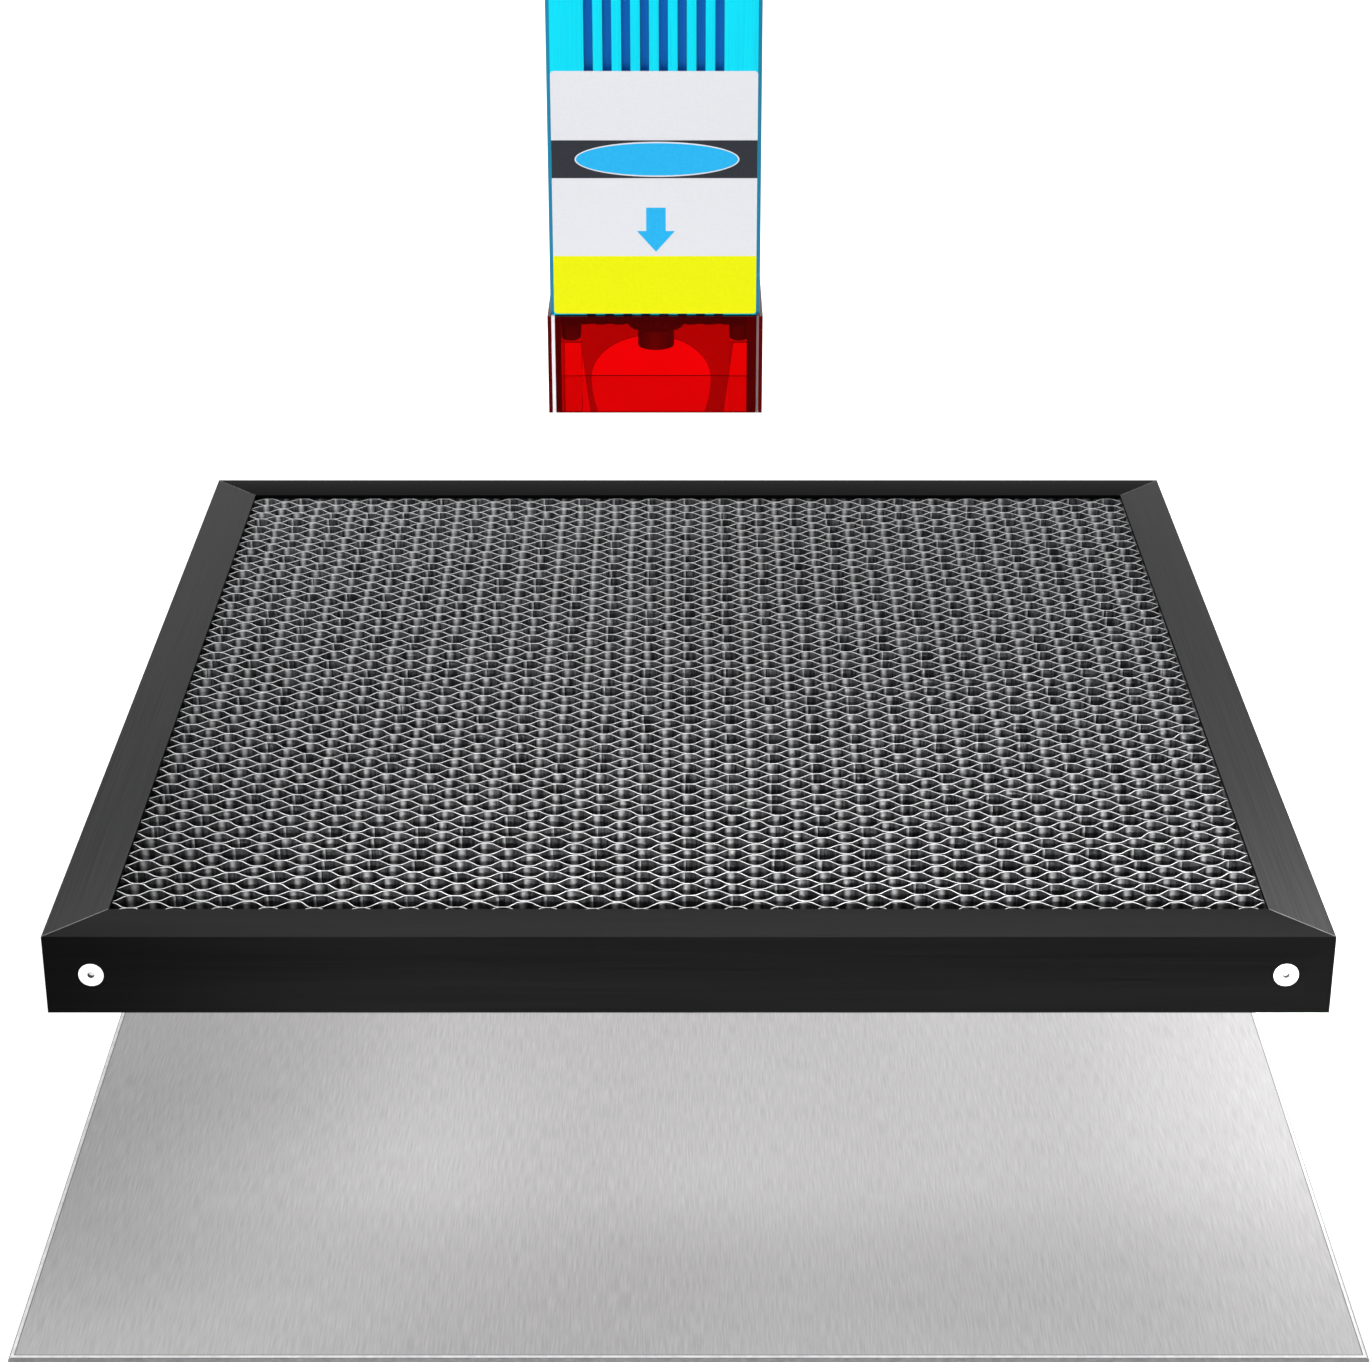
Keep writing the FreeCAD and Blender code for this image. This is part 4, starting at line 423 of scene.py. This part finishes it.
def screwFace(centre, normal):  # the socket's floor with a painted highlight, its wall with painted shade, or the enamel round it
    across = abs(centre.x) - screwHigh.x + (screwHigh.z - screwLow.z) / 2
    off = math.hypot(across, centre.z - (screwLow.z + screwHigh.z) / 2)
    depth = screwHigh.y - abs(centre.y)
    inside = off < screw["socketRadius"] * mm and depth > screw["faceDepth"] * mm
    return 2 if inside and abs(normal.y) > leaning["flat"] else int(inside)


sortedForm("bed_screws", 0.2, [whiteEnamel, finishes["socket"], finishes["socketFloorHighlight"]], screwFace)

housing = {"skin": 0.6, "grooves": 4}  # mm in from the outside: end of the skin, floor of the grooves


def housingFace(centre, normal):  # painted shade on a rounded corner or the flanks' insides, painted shade in a groove, or the bright skin
    ends = min(centre.y - houseLow.y, houseHigh.y - centre.y)
    inset = min(centre.x - houseLow.x, houseHigh.x - centre.x, ends)
    if min(abs(normal.x), abs(normal.y)) > leaning["corner"]:
        return 2
    if inset > housing["skin"] * mm and abs(normal.z) < leaning["upright"]:
        return 1 if ends < housing["grooves"] * mm else 2
    return 0


sortedForm("head_housing", 0.3, [finishes["blue"], finishes["groove"], finishes["corner"]], housingFace)

motor = {"body": 40, "bell": 8, "softness": 0.8}  # mm long without the shaft, a bright bell at each end


def makeMotor(node, axis):
    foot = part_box(node)[0][axis]
    bm = nodeCopy(node)
    softenEdges(bm, motor["softness"])
    normal = Vector([float(i == axis) for i in range(3)])
    cuts = (foot + motor["bell"] * mm, foot + (motor["body"] - motor["bell"]) * mm)
    for cut in cuts:
        bmesh.ops.bisect_plane(bm, geom=bm.verts[:] + bm.edges[:] + bm.faces[:], plane_co=normal * cut,
                               plane_no=normal)
    for face in bm.faces:
        face.material_index = int(not cuts[0] < face.calc_center_median()[axis] < cuts[1])
    finishPiece(bm, node + "_form", bodyOf[node], [powderBlack, machined], [node])


makeMotor("lift_motor", 2)
makeMotor("x_motor", 2)
makeMotor("y_motor", 0)
print("bars, plate, screws, housing and motors made")


# bolts, screws and motor sockets

def sinkSocket(bm, face, radius, depth):  # a hexagon socket with a floor darkened by painted shade, in the middle of a round face
    centre, normal = face.calc_center_median(), face.normal.copy()
    rim = (face.verts[0].co - centre).length - radius
    bmesh.ops.inset_individual(bm, faces=[face], thickness=rim)
    side = (face.verts[0].co - centre).normalized()
    up = normal.cross(side)
    for vert in face.verts:
        reach = vert.co - centre
        angle = math.atan2(reach.dot(up), reach.dot(side)) % (math.pi / 3) - math.pi / 6
        vert.co = centre + reach.normalized() * radius * math.cos(math.pi / 6) / math.cos(angle)
    bmesh.ops.inset_individual(bm, faces=[face], thickness=sliver, depth=-depth)
    face.material_index = 1


# mm; a head's top has more sides than "sides", with every corner between "headTop" from its middle
bolt = {"softness": 0.2, "sides": 8, "headTop": (2.8, 3.3), "socket": 1.75, "sink": 1.5}


def makeBolts():
    bm = nodeCopy("frame_bolts")
    softenEdges(bm, bolt["softness"])
    bm.normal_update()
    least, most = (radius * mm for radius in bolt["headTop"])
    tops = []
    for face in bm.faces:
        reach = [(vert.co - face.calc_center_median()).length for vert in face.verts]
        if len(reach) > bolt["sides"] and least < min(reach) and max(reach) < most:
            tops.append(face)
    for face in tops:
        sinkSocket(bm, face, bolt["socket"] * mm, bolt["sink"] * mm)
    print("bolt heads:", len(tops))
    finishPiece(bm, "frame_bolts_form", "frame", [zincSteel, finishes["socket"]],
                ["frame_bolts"])


makeBolts()

screws = {  # mm
    "railEnd": 10, "railPitch": 20, "railHalf": 4.5,  # off the rail's end, one to the next, off its side
    "lid": 7, "cover": 5,  # off each edge
    "motor": 15.5,  # off the shaft, both ways
    "lug": (20, 5),  # off the carriage's middle, and off its top and foot
    "plate": (236, 248),  # off the machine's middle
}
heads = {  # mm: radius and height of the head, radius and depth of its socket
    "round": (2.75, 1.3, 1.5, 0.9), "small": (1.9, 0.9, 1.05, 0.6), "sunk": (2.6, 0.1, 1.4, 0.07),
}
turned = {"sides": 24, "crown": 0.86}  # sides of a head, and the share of its radius left at the crown


def screwHeads(name, spots, facing, kind, host, material):
    radius, tall, socket, sink = (value * mm for value in heads[kind])
    facing = Vector(facing)
    turn = facing.to_track_quat("Z", "Y").to_matrix().to_4x4()
    bm = bmesh.new()
    for spot in spots:
        place = Matrix.Translation(Vector(spot) + facing * tall / 2) @ turn
        made = bmesh.ops.create_cone(bm, cap_ends=True, segments=turned["sides"], radius1=radius,
                                     radius2=radius * turned["crown"], depth=tall, matrix=place)["verts"]
        caps = {face for vert in made for face in vert.link_faces if len(face.verts) == turned["sides"]}
        bm.normal_update()
        sinkSocket(bm, max(caps, key=lambda face: face.normal.dot(facing)), socket, sink)
    return finishPiece(bm, name, bodyOf[host], [material, finishes["socket"]])


def makeScrews():
    for node, axis, facing in (("x_rail", 0, (0, -1, 0)), ("y_rails", 1, (0, 0, -1))):
        low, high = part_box(node)
        start, pitch = low[axis] + screws["railEnd"] * mm, screws["railPitch"] * mm
        steps = [start + pitch * i for i in range(int((high[axis] - start) / pitch) + 1)]
        if axis == 0:
            spots = [(x, low.y, (low.z + high.z) / 2) for x in steps]
        else:
            half = screws["railHalf"] * mm
            spots = [(x, y, low.z) for y in steps for x in (low.x + half, high.x - half)]
        screwHeads(node + "_screws", spots, facing, "sunk", node, blackOxide)

    for name, node, inset, kind in (("lid_screws", "control_lid", "lid", "round"),
                                    ("cover_screws", "fan_cover", "cover", "small")):
        low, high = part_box(node)
        inset = screws[inset] * mm
        spots = [(x, y, high.z) for x in (low.x + inset, high.x - inset)
                 for y in (low.y + inset, high.y - inset)]
        screwHeads(name, spots, (0, 0, 1), kind, node, blackOxide)

    low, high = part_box("carriage_plate")
    middle, (across, up) = (low.x + high.x) / 2, screws["lug"]
    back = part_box("x_block")[0].y
    spots = [(middle + sign * across * mm, back, z) for sign in (-1, 1)
             for z in (low.z + up * mm, high.z - up * mm)]
    screwHeads("carriage_screws", spots, (0, 1, 0), "round", "carriage_plate", zincSteel)

    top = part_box("y_blocks")[0].z
    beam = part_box("x_beam")
    spots = [(sign * across * mm, (beam[0].y + beam[1].y) / 2, top) for sign in (-1, 1)
             for across in screws["plate"]]
    screwHeads("end_plate_screws", spots, (0, 0, 1), "sunk", "end_plates", zincSteel)

    motorEnds = (("lift_motor", 2, -1), ("x_motor", 2, -1), ("y_motor", 0, -1), ("y_motor", 0, 1))
    for node, axis, sign in motorEnds:
        low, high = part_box(node)
        corner = screws["motor"] * mm
        middle = (low + high) / 2
        spots = []
        for one in (-corner, corner):
            for other in (-corner, corner):
                spot = middle.copy()
                spot[axis] = (low if sign < 0 else high)[axis]
                spot[(axis + 1) % 3] += one
                spot[(axis + 2) % 3] += other
                spots.append(spot)
        facing = [sign * float(i == axis) for i in range(3)]
        end = "near" if sign < 0 else "far"
        screwHeads(node + "_screws_" + end, spots, facing, "small", node, zincSteel)
    print("screws made")


makeScrews()

plug = {  # mm, apart from the number of pins
    "wide": 15, "tall": 6.5, "deep": 5, "lift": 1,
    "wall": 0.8, "hole": 4, "pins": 6, "pinPitch": 2, "pin": 0.3,
}


def makePlug(node, axis):  # a six-pin socket on the front of the motor's rear bell
    low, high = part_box(node)
    across = 2 - axis
    middle = (low + high) / 2
    size = {word: value * mm for word, value in plug.items()}
    near, far = low.copy(), low.copy()
    near[axis], far[axis] = low[axis] + size["lift"], low[axis] + size["lift"] + size["tall"]
    near[across], far[across] = middle[across] - size["wide"] / 2, middle[across] + size["wide"] / 2
    near.y, far.y = low.y - size["deep"], low.y
    bm = bmesh.new()
    bmesh.ops.create_cube(bm, size=1)
    bmesh.ops.scale(bm, verts=bm.verts, vec=far - near)
    bmesh.ops.translate(bm, verts=bm.verts, vec=(near + far) / 2)
    bm.normal_update()
    mouth = min(bm.faces, key=lambda face: face.normal.y)
    bmesh.ops.inset_individual(bm, faces=[mouth], thickness=size["wall"])
    bmesh.ops.inset_individual(bm, faces=[mouth], thickness=sliver, depth=-size["hole"])
    for i in range(plug["pins"]):
        made = bmesh.ops.create_cube(bm, size=1)["verts"]
        bmesh.ops.scale(bm, verts=made, vec=(2 * size["pin"], size["hole"], 2 * size["pin"]))
        spot = (near + far) / 2
        spot[across] += (i - (plug["pins"] - 1) / 2) * size["pinPitch"]
        spot.y = low.y - size["deep"] + size["wall"] + size["hole"] / 2
        bmesh.ops.translate(bm, verts=made, vec=spot)
        for face in {face for vert in made for face in vert.link_faces}:
            face.material_index = 1
    finishPiece(bm, node + "_socket", bodyOf[node], [plugNylon, pinGold])


for node, axis in (("lift_motor", 2), ("x_motor", 2), ("y_motor", 0)):
    makePlug(node, axis)
print("motor sockets made")


# honeycomb

honeycomb = {
    "rowPitch": 4.0, "cellPitch": 14.7,  # mm from ribbon to ribbon, and from bond to bond along one
    "foil": 0.34,  # mm, coarser than the real 0.1 so that the rims show
    "bond": 0.13, "steps": 4,  # share of a pitch that is glued flat, and parts of each slant
    "drift": 1.1, "driftAlong": 45, "driftAcross": 9,  # mm that the cells wander, and over what distance
    "burr": 0.12, "burrAcross": 3,  # mm
}


def makeHoneycomb():
    size = honeycomb
    low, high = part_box("honeycomb_core")
    pitch, row = size["cellPitch"] * mm, size["rowPitch"] * mm
    reach = row / 2 - size["foil"] * mm / 2
    # one cell of a ribbon: share of the pitch and swing, from the bond behind to the one in front and back
    phases = [(-size["bond"] / 2, 1.0)]
    slant = 0.5 - size["bond"]
    phases += [(size["bond"] / 2 + slant * i / size["steps"], math.cos(math.pi * i / size["steps"]))
               for i in range(size["steps"] + 1)]
    phases += [(0.5 + size["bond"] / 2 + slant * i / size["steps"], -math.cos(math.pi * i / size["steps"]))
               for i in range(size["steps"])]
    bm = bmesh.new()
    layer = bm.verts.layers.float.new("glint")
    count = int((high.x - low.x) / pitch) + 2
    points = [bm.verts.new(((phase + cell - count / 2) * pitch, swing * reach, low.z))
              for cell in range(count) for phase, swing in phases]
    for i, vert in enumerate(points):  # 1 and -1 mark one end of each bond behind and in front, for the painted highlight streak
        vert[layer] = {0: 1, size["steps"] + 1: -1}.get(i % len(phases), 0)
    for one, other in zip(points, points[1:]):
        bm.edges.new((one, other))
    walls = bmesh.ops.extrude_edge_only(bm, edges=bm.edges[:])
    top = [item for item in walls["geom"] if isinstance(item, bmesh.types.BMVert)]
    bmesh.ops.translate(bm, verts=top, vec=(0, 0, high.z - low.z))
    ribbon = bm.verts[:] + bm.edges[:] + bm.faces[:]
    rows = int((high.y - low.y) / row)
    for i in range(1, rows):
        made = bmesh.ops.duplicate(bm, geom=ribbon)["geom"]
        verts = [item for item in made if isinstance(item, bmesh.types.BMVert)]
        if i % 2:
            bmesh.ops.scale(bm, verts=verts, vec=(1, -1, 1))
            faces = [item for item in made if isinstance(item, bmesh.types.BMFace)]
            bmesh.ops.reverse_faces(bm, faces=faces)
            for vert in verts:
                vert[layer] *= -1
        bmesh.ops.translate(bm, verts=verts, vec=(0, i * row, 0))
    middle = (low.y + high.y) / 2
    bmesh.ops.translate(bm, verts=bm.verts, vec=(0, middle - (rows - 1) / 2 * row, 0))
    for vert in bm.verts:
        spot = Vector((vert.co.x / size["driftAlong"], vert.co.y / size["driftAcross"], 0)) / mm
        vert.co.x += noise.noise(spot) * size["drift"] * mm
        elsewhere = spot + Vector((7, 3, 5))  # another part of the same noise
        vert.co.y += noise.noise(elsewhere) * size["drift"] * mm
        if vert.co.z > (low.z + high.z) / 2:
            vert.co.z -= abs(noise.noise(vert.co / (size["burrAcross"] * mm))) * size["burr"] * mm
    sides = ((low.x, (-1, 0, 0)), (high.x, (1, 0, 0)), (low.y, (0, -1, 0)), (high.y, (0, 1, 0)))
    for edge, normal in sides:
        bmesh.ops.bisect_plane(bm, geom=bm.verts[:] + bm.edges[:] + bm.faces[:],
                               plane_co=[edge * abs(part) for part in normal], plane_no=normal,
                               clear_outer=True)
    bmesh.ops.solidify(bm, geom=bm.faces[:], thickness=size["foil"] * mm)
    bm.normal_update()
    # upward faces take the rims' painted highlight
    for face in bm.faces:
        face.material_index = int(face.normal.z > leaning["flat"])
    print("honeycomb:", rows, "ribbons,", sum(len(face.verts) - 2 for face in bm.faces), "triangles")
    finishPiece(bm, "honeycomb_foil", "bed", [finishes["foil"], finishes["foilEdge"]],
                ["honeycomb_core"], sharp=60)


makeHoneycomb()


# front label, plain colour blocks with no lettering

label = {  # mm from the label's top edge and middle
    "ink": 0.06, "corner": 1.1,
    "bandTop": 21.5, "bandTall": 11.95,
    "ovalAcross": 0.8, "ovalWide": 51.2, "ovalTall": 11.1, "ovalRim": 0.45,
    "arrowAcross": 0.4, "shaftWide": 6.1, "shaftTop": 42.9, "headWide": 11.9, "headTop": 50.4, "tip": 57.1,
    "yellowTop": 58.5,
}


def flatShape(outline, depth, front):  # an upright sheet that faces the front, from points (across, up)
    bm = bmesh.new()
    face = bm.faces.new([bm.verts.new((across, front + depth, up)) for across, up in outline])
    made = bmesh.ops.extrude_face_region(bm, geom=[face])["geom"]
    bmesh.ops.translate(bm, verts=[item for item in made if isinstance(item, bmesh.types.BMVert)],
                        vec=(0, -depth, 0))
    bmesh.ops.recalc_face_normals(bm, faces=bm.faces)
    return bm


def roundedOutline(left, right, low, high, corners, steps=8):  # corner radii, anticlockwise from lower left
    points = []
    for x, z, start, radius in zip((left, right, right, left), (low, low, high, high), (180, 270, 0, 90),
                                   corners):
        sideX, sideZ = (1 if x == left else -1), (1 if z == low else -1)
        centre = Vector((x + sideX * radius, z + sideZ * radius))
        for i in range(steps + 1 if radius else 1):
            angle = math.radians(start + 90 * i / steps)
            points.append(centre + radius * Vector((math.cos(angle), math.sin(angle))))
    return points


def oval(across, up, wide, tall, steps=64):
    turns = [2 * math.pi * i / steps for i in range(steps)]
    return [(across + wide / 2 * math.cos(turn), up + tall / 2 * math.sin(turn)) for turn in turns]


def makeLabel():
    size = {word: value * mm for word, value in label.items()}
    low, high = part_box("front_label")
    middle = (low.x + high.x) / 2
    front = low.y + 3 * size["ink"]  # the film's face, with room for three layers of ink before it
    radius = size["corner"]

    def block(name, outline, layer, material):
        bm = flatShape(outline, high.y - front if layer == 0 else size["ink"], front - layer * size["ink"])
        replaced = ["front_label"] if layer == 0 else []
        finishPiece(bm, name, "head", [material], replaced)

    block("label_film", roundedOutline(low.x, high.x, low.z, high.z, [radius] * 4), 0,
          finishes["labelWhite"])
    bandTop = high.z - size["bandTop"]
    bandLow = bandTop - size["bandTall"]
    block("label_band", roundedOutline(low.x, high.x, bandLow, bandTop, [0] * 4), 1, finishes["labelDark"])
    across, up = middle + size["ovalAcross"], (bandTop + bandLow) / 2
    block("label_oval_rim", oval(across, up, size["ovalWide"], size["ovalTall"]), 2, finishes["labelWhite"])
    rim = 2 * size["ovalRim"]
    block("label_oval", oval(across, up, size["ovalWide"] - rim, size["ovalTall"] - rim), 3,
          finishes["labelBlue"])
    across = middle + size["arrowAcross"]
    shaft, head = size["shaftWide"] / 2, size["headWide"] / 2
    shaftTop, headTop, tip = (high.z - size[word] for word in ("shaftTop", "headTop", "tip"))
    arrow = [(across - shaft, shaftTop), (across - shaft, headTop), (across - head, headTop), (across, tip),
             (across + head, headTop), (across + shaft, headTop), (across + shaft, shaftTop)]
    block("label_arrow", arrow, 1, finishes["labelBlue"])
    block("label_foot", roundedOutline(low.x, high.x, low.z, high.z - size["yellowTop"],
                                       [radius, radius, 0, 0]), 1, finishes["labelYellow"])
    print("label made")


makeLabel()


# laser shield: sides, front, windowed back, corner posts and the sill above

window = {"dip": 25.4, "steps": 48}  # degrees that its outline runs on past the waist, and its parts
shield = {  # mm
    "wall": 1.6, "side": 1.2, "gap": 0.05, "frontDrop": 32.3, "frontLeft": 2.35, "frontRight": 2.0,
    "windowHalf": 20.1, "windowTop": 27, "windowWaist": 12, "windowTail": 28, "windowAside": -2,
    "post": 6.4, "postOut": 26.75,
    "stripLeft": 1.9, "stripRight": 3, "stripThick": 0.4,
    "slotFoot": 8.3, "slotHead": 5.2, "slotOut": 31, "slotTop": 24.5,
    "lipTall": 13, "lipThick": 0.8, "lipUp": 0.4,
    "sillDeep": 3.2, "sillTall": 4,
}


def boxPiece(name, low, high, body, material, replaced=()):
    bm = bmesh.new()
    bmesh.ops.create_cube(bm, size=1)
    bmesh.ops.scale(bm, verts=bm.verts, vec=high - low)
    bmesh.ops.translate(bm, verts=bm.verts, vec=(low + high) / 2)
    return finishPiece(bm, name, body, [material], replaced)


def makeShield():
    size = {word: value * mm for word, value in shield.items()}
    low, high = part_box("laser_shield")
    frontLow = high.z - size["frontDrop"]
    slope = (low.z - frontLow) / (high.y - low.y)

    def sloped(name, left, right, front, back, top, material, replaced=()):
        bm = bmesh.new()  # a plate whose foot follows the sides' slope
        corners = [(front, frontLow + slope * (front - low.y)), (back, frontLow + slope * (back - low.y)),
                   (back, top), (front, top)]
        face = bm.faces.new([bm.verts.new((left, y, z)) for y, z in corners])
        made = bmesh.ops.extrude_face_region(bm, geom=[face])["geom"]
        bmesh.ops.translate(bm, verts=[item for item in made if isinstance(item, bmesh.types.BMVert)],
                            vec=(right - left, 0, 0))
        bmesh.ops.recalc_face_normals(bm, faces=bm.faces)
        finishPiece(bm, name, "shield", [material], replaced)

    for name, left in (("left", low.x), ("right", high.x - size["side"])):
        sloped("shield_side_" + name, left, left + size["side"], low.y, high.y, high.z,
               finishes["sideAcrylic"], ["laser_shield"] if name == "left" else [])
    innerLeft, innerRight = low.x + size["side"] + size["gap"], high.x - size["side"] - size["gap"]
    frontLeft, frontRight = low.x + size["frontLeft"], high.x - size["frontRight"]
    inFront = low.y + size["wall"]
    boxPiece("shield_front", Vector((frontLeft, low.y, frontLow)), Vector((frontRight, inFront, high.z)),
             "shield", finishes["frontAcrylic"])
    boxPiece("shield_left_edge", Vector((innerLeft, low.y, frontLow)),
             Vector((frontLeft - size["gap"], inFront, high.z)), "shield",
             finishes["cutAcrylic"])
    boxPiece("shield_right_edge", Vector((frontRight + size["gap"], low.y, frontLow)),
             Vector((innerRight, inFront, high.z)), "shield", finishes["dullAcrylic"])

    middle = (low.x + high.x) / 2
    centre = middle + size["windowAside"]
    waist = low.z + size["windowWaist"]
    arch = []
    for i in range(window["steps"] + 1):
        turn = math.radians(-window["dip"] + (180 + 2 * window["dip"]) * i / window["steps"])
        tall = size["windowTop"] - size["windowWaist"] if 0 < turn < math.pi else size["windowTail"]
        arch.append((centre + size["windowHalf"] * math.cos(turn),
                     max(low.z, waist + tall * math.sin(turn))))
    slotTop = low.z + size["slotTop"]
    slots = {}
    for name, sign in (("left", -1), ("right", 1)):
        outer = middle + sign * size["slotOut"]
        slots[name] = [(outer, low.z), (outer, slotTop), (outer - sign * size["slotHead"], slotTop),
                       (outer - sign * size["slotFoot"], low.z)]
    outline = [(innerLeft, low.z)] + slots["left"] + arch[::-1] + slots["right"][::-1]
    outline += [(innerRight, low.z), (innerRight, high.z), (innerLeft, high.z)]
    back = high.y - size["wall"]
    finishPiece(flatShape(outline, size["wall"], back), "shield_back", "shield",
                [finishes["backAcrylic"]])
    lipBack = back - size["gap"]
    boxPiece("shield_lip", Vector((innerLeft, lipBack - size["lipThick"], low.z + size["lipUp"])),
             Vector((innerRight, lipBack, low.z + size["lipTall"])), "shield",
             finishes["lipAcrylic"])
    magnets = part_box("shield_magnets")
    for name, sign in (("left", -1), ("right", 1)):
        across, half, front = middle + sign * size["postOut"], size["post"] / 2, inFront + size["gap"]
        sloped("shield_post_" + name, across - half, across + half, front, front + size["post"],
               magnets[0].z - size["gap"], finishes["postAcrylic"])
    for name, left, right in (("left", frontLeft, frontLeft + size["stripLeft"]),
                              ("right", frontRight - size["stripRight"], frontRight)):
        boxPiece("shield_strip_" + name, Vector((left, inFront + size["gap"], frontLow)),
                 Vector((right, inFront + size["gap"] + size["stripThick"], high.z)), "shield",
                 finishes["stripAcrylic"])
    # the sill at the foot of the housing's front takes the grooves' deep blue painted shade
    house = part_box("head_housing")
    inset = 2 * shield["wall"] * mm
    boxPiece("housing_sill", Vector((house[0].x + inset, house[0].y + inset / 2, house[0].z)),
             Vector((house[1].x - inset, house[0].y + inset / 2 + size["sillDeep"],
                     house[0].z + size["sillTall"])), "head", finishes["groove"])
    print("shield made")


makeShield()


# floor, light and camera

# metres, then shares of full white; the last is taken off the paper where it shows through the acrylic
studio = {"floorHalf": 6, "worldStrength": 0.8, "floorGlow": 0.55, "glowLost": -0.25}
lamps = {  # place and aim in metres, size across and up in metres, watts, beam spread in degrees
    "key": ((1.1, 0.9, 2.4), (0, 0, 0.15), (1.8, 1.8), 30, 180),
    "fill": ((-1.0, -1.7, 1.9), (0, 0, 0.3), (2.2, 1.6), 30, 180),
    "low": ((0.28, -0.80, 0.36), (0.26, -0.01, 0.078), (0.84, 0.06), 1.3, 16),
}


def makeStudio():
    size = studio
    bm = bmesh.new()
    bmesh.ops.create_grid(bm, x_segments=1, y_segments=1, size=size["floorHalf"])
    mesh = bpy.data.meshes.new("floor")
    bm.to_mesh(mesh)
    bm.free()
    floor = bpy.data.objects.new("floor", mesh)
    bpy.context.scene.collection.objects.link(floor)
    # matt paper with a glow of its own: a clean white ground that keeps soft contact shadows
    material = bpy.data.materials.new("white studio paper")
    material.use_nodes = True
    tree = material.node_tree
    tree.nodes.clear()
    rays = addNode(tree, "LightPath")
    seen = addNode(tree, "Math", {0: rays.outputs["Is Camera Ray"], 1: rays.outputs["Is Glossy Ray"]},
                   operation="MAXIMUM")
    through = addNode(tree, "Math", {0: rays.outputs["Is Transmission Ray"], 1: size["glowLost"]},
                      operation="MULTIPLY")
    glow = addNode(tree, "Math", {0: seen.outputs[0], 1: size["floorGlow"], 2: through.outputs[0]},
                   operation="MULTIPLY_ADD")
    paper = addNode(tree, "BsdfDiffuse", {"Color": linear("e6e6e6")})
    light = addNode(tree, "Emission", {"Color": linear("ffffff"), "Strength": glow.outputs[0]})
    both = addNode(tree, "AddShader", {0: paper.outputs[0], 1: light.outputs[0]})
    addNode(tree, "OutputMaterial", {"Surface": both.outputs[0]})
    mesh.materials.append(material)

    world = bpy.data.worlds.new("studio")
    bpy.context.scene.world = world
    world.use_nodes = True
    tree = world.node_tree
    tree.nodes.clear()
    rays = addNode(tree, "LightPath")
    strength = addNode(tree, "MapRange", {"Value": rays.outputs["Is Camera Ray"],
                                          "To Min": size["worldStrength"], "To Max": 1})
    sky = addNode(tree, "Background", {"Color": linear("ffffff"), "Strength": strength.outputs["Result"]})
    addNode(tree, "OutputWorld", {"Surface": sky.outputs[0]})

    for name, (place, aim, across, power, beam) in lamps.items():
        lamp = bpy.data.lights.new(name, "AREA")
        lamp.shape, lamp.energy, lamp.spread = "RECTANGLE", power, math.radians(beam)
        lamp.size, lamp.size_y = across
        holder = bpy.data.objects.new(name, lamp)
        bpy.context.scene.collection.objects.link(holder)
        holder.location = place
        holder.rotation_euler = (Vector(aim) - Vector(place)).to_track_quat("-Z", "Y").to_euler()
        holder.visible_camera = False
    bpy.context.scene.view_settings.view_transform = "Standard"


camera = {"lens": 81.2, "sensor": 36, "place": (-0.0008, -1.0378, 0.6489), "tilt": 65.7}


def makeCamera():
    eye = bpy.data.cameras.new("camera")
    eye.lens, eye.sensor_width = camera["lens"], camera["sensor"]
    holder = bpy.data.objects.new("camera", eye)
    bpy.context.scene.collection.objects.link(holder)
    holder.location = camera["place"]
    holder.rotation_euler = (math.radians(camera["tilt"]), 0, 0)
    bpy.context.scene.camera = holder


makeStudio()
makeCamera()
print("studio and camera ready")
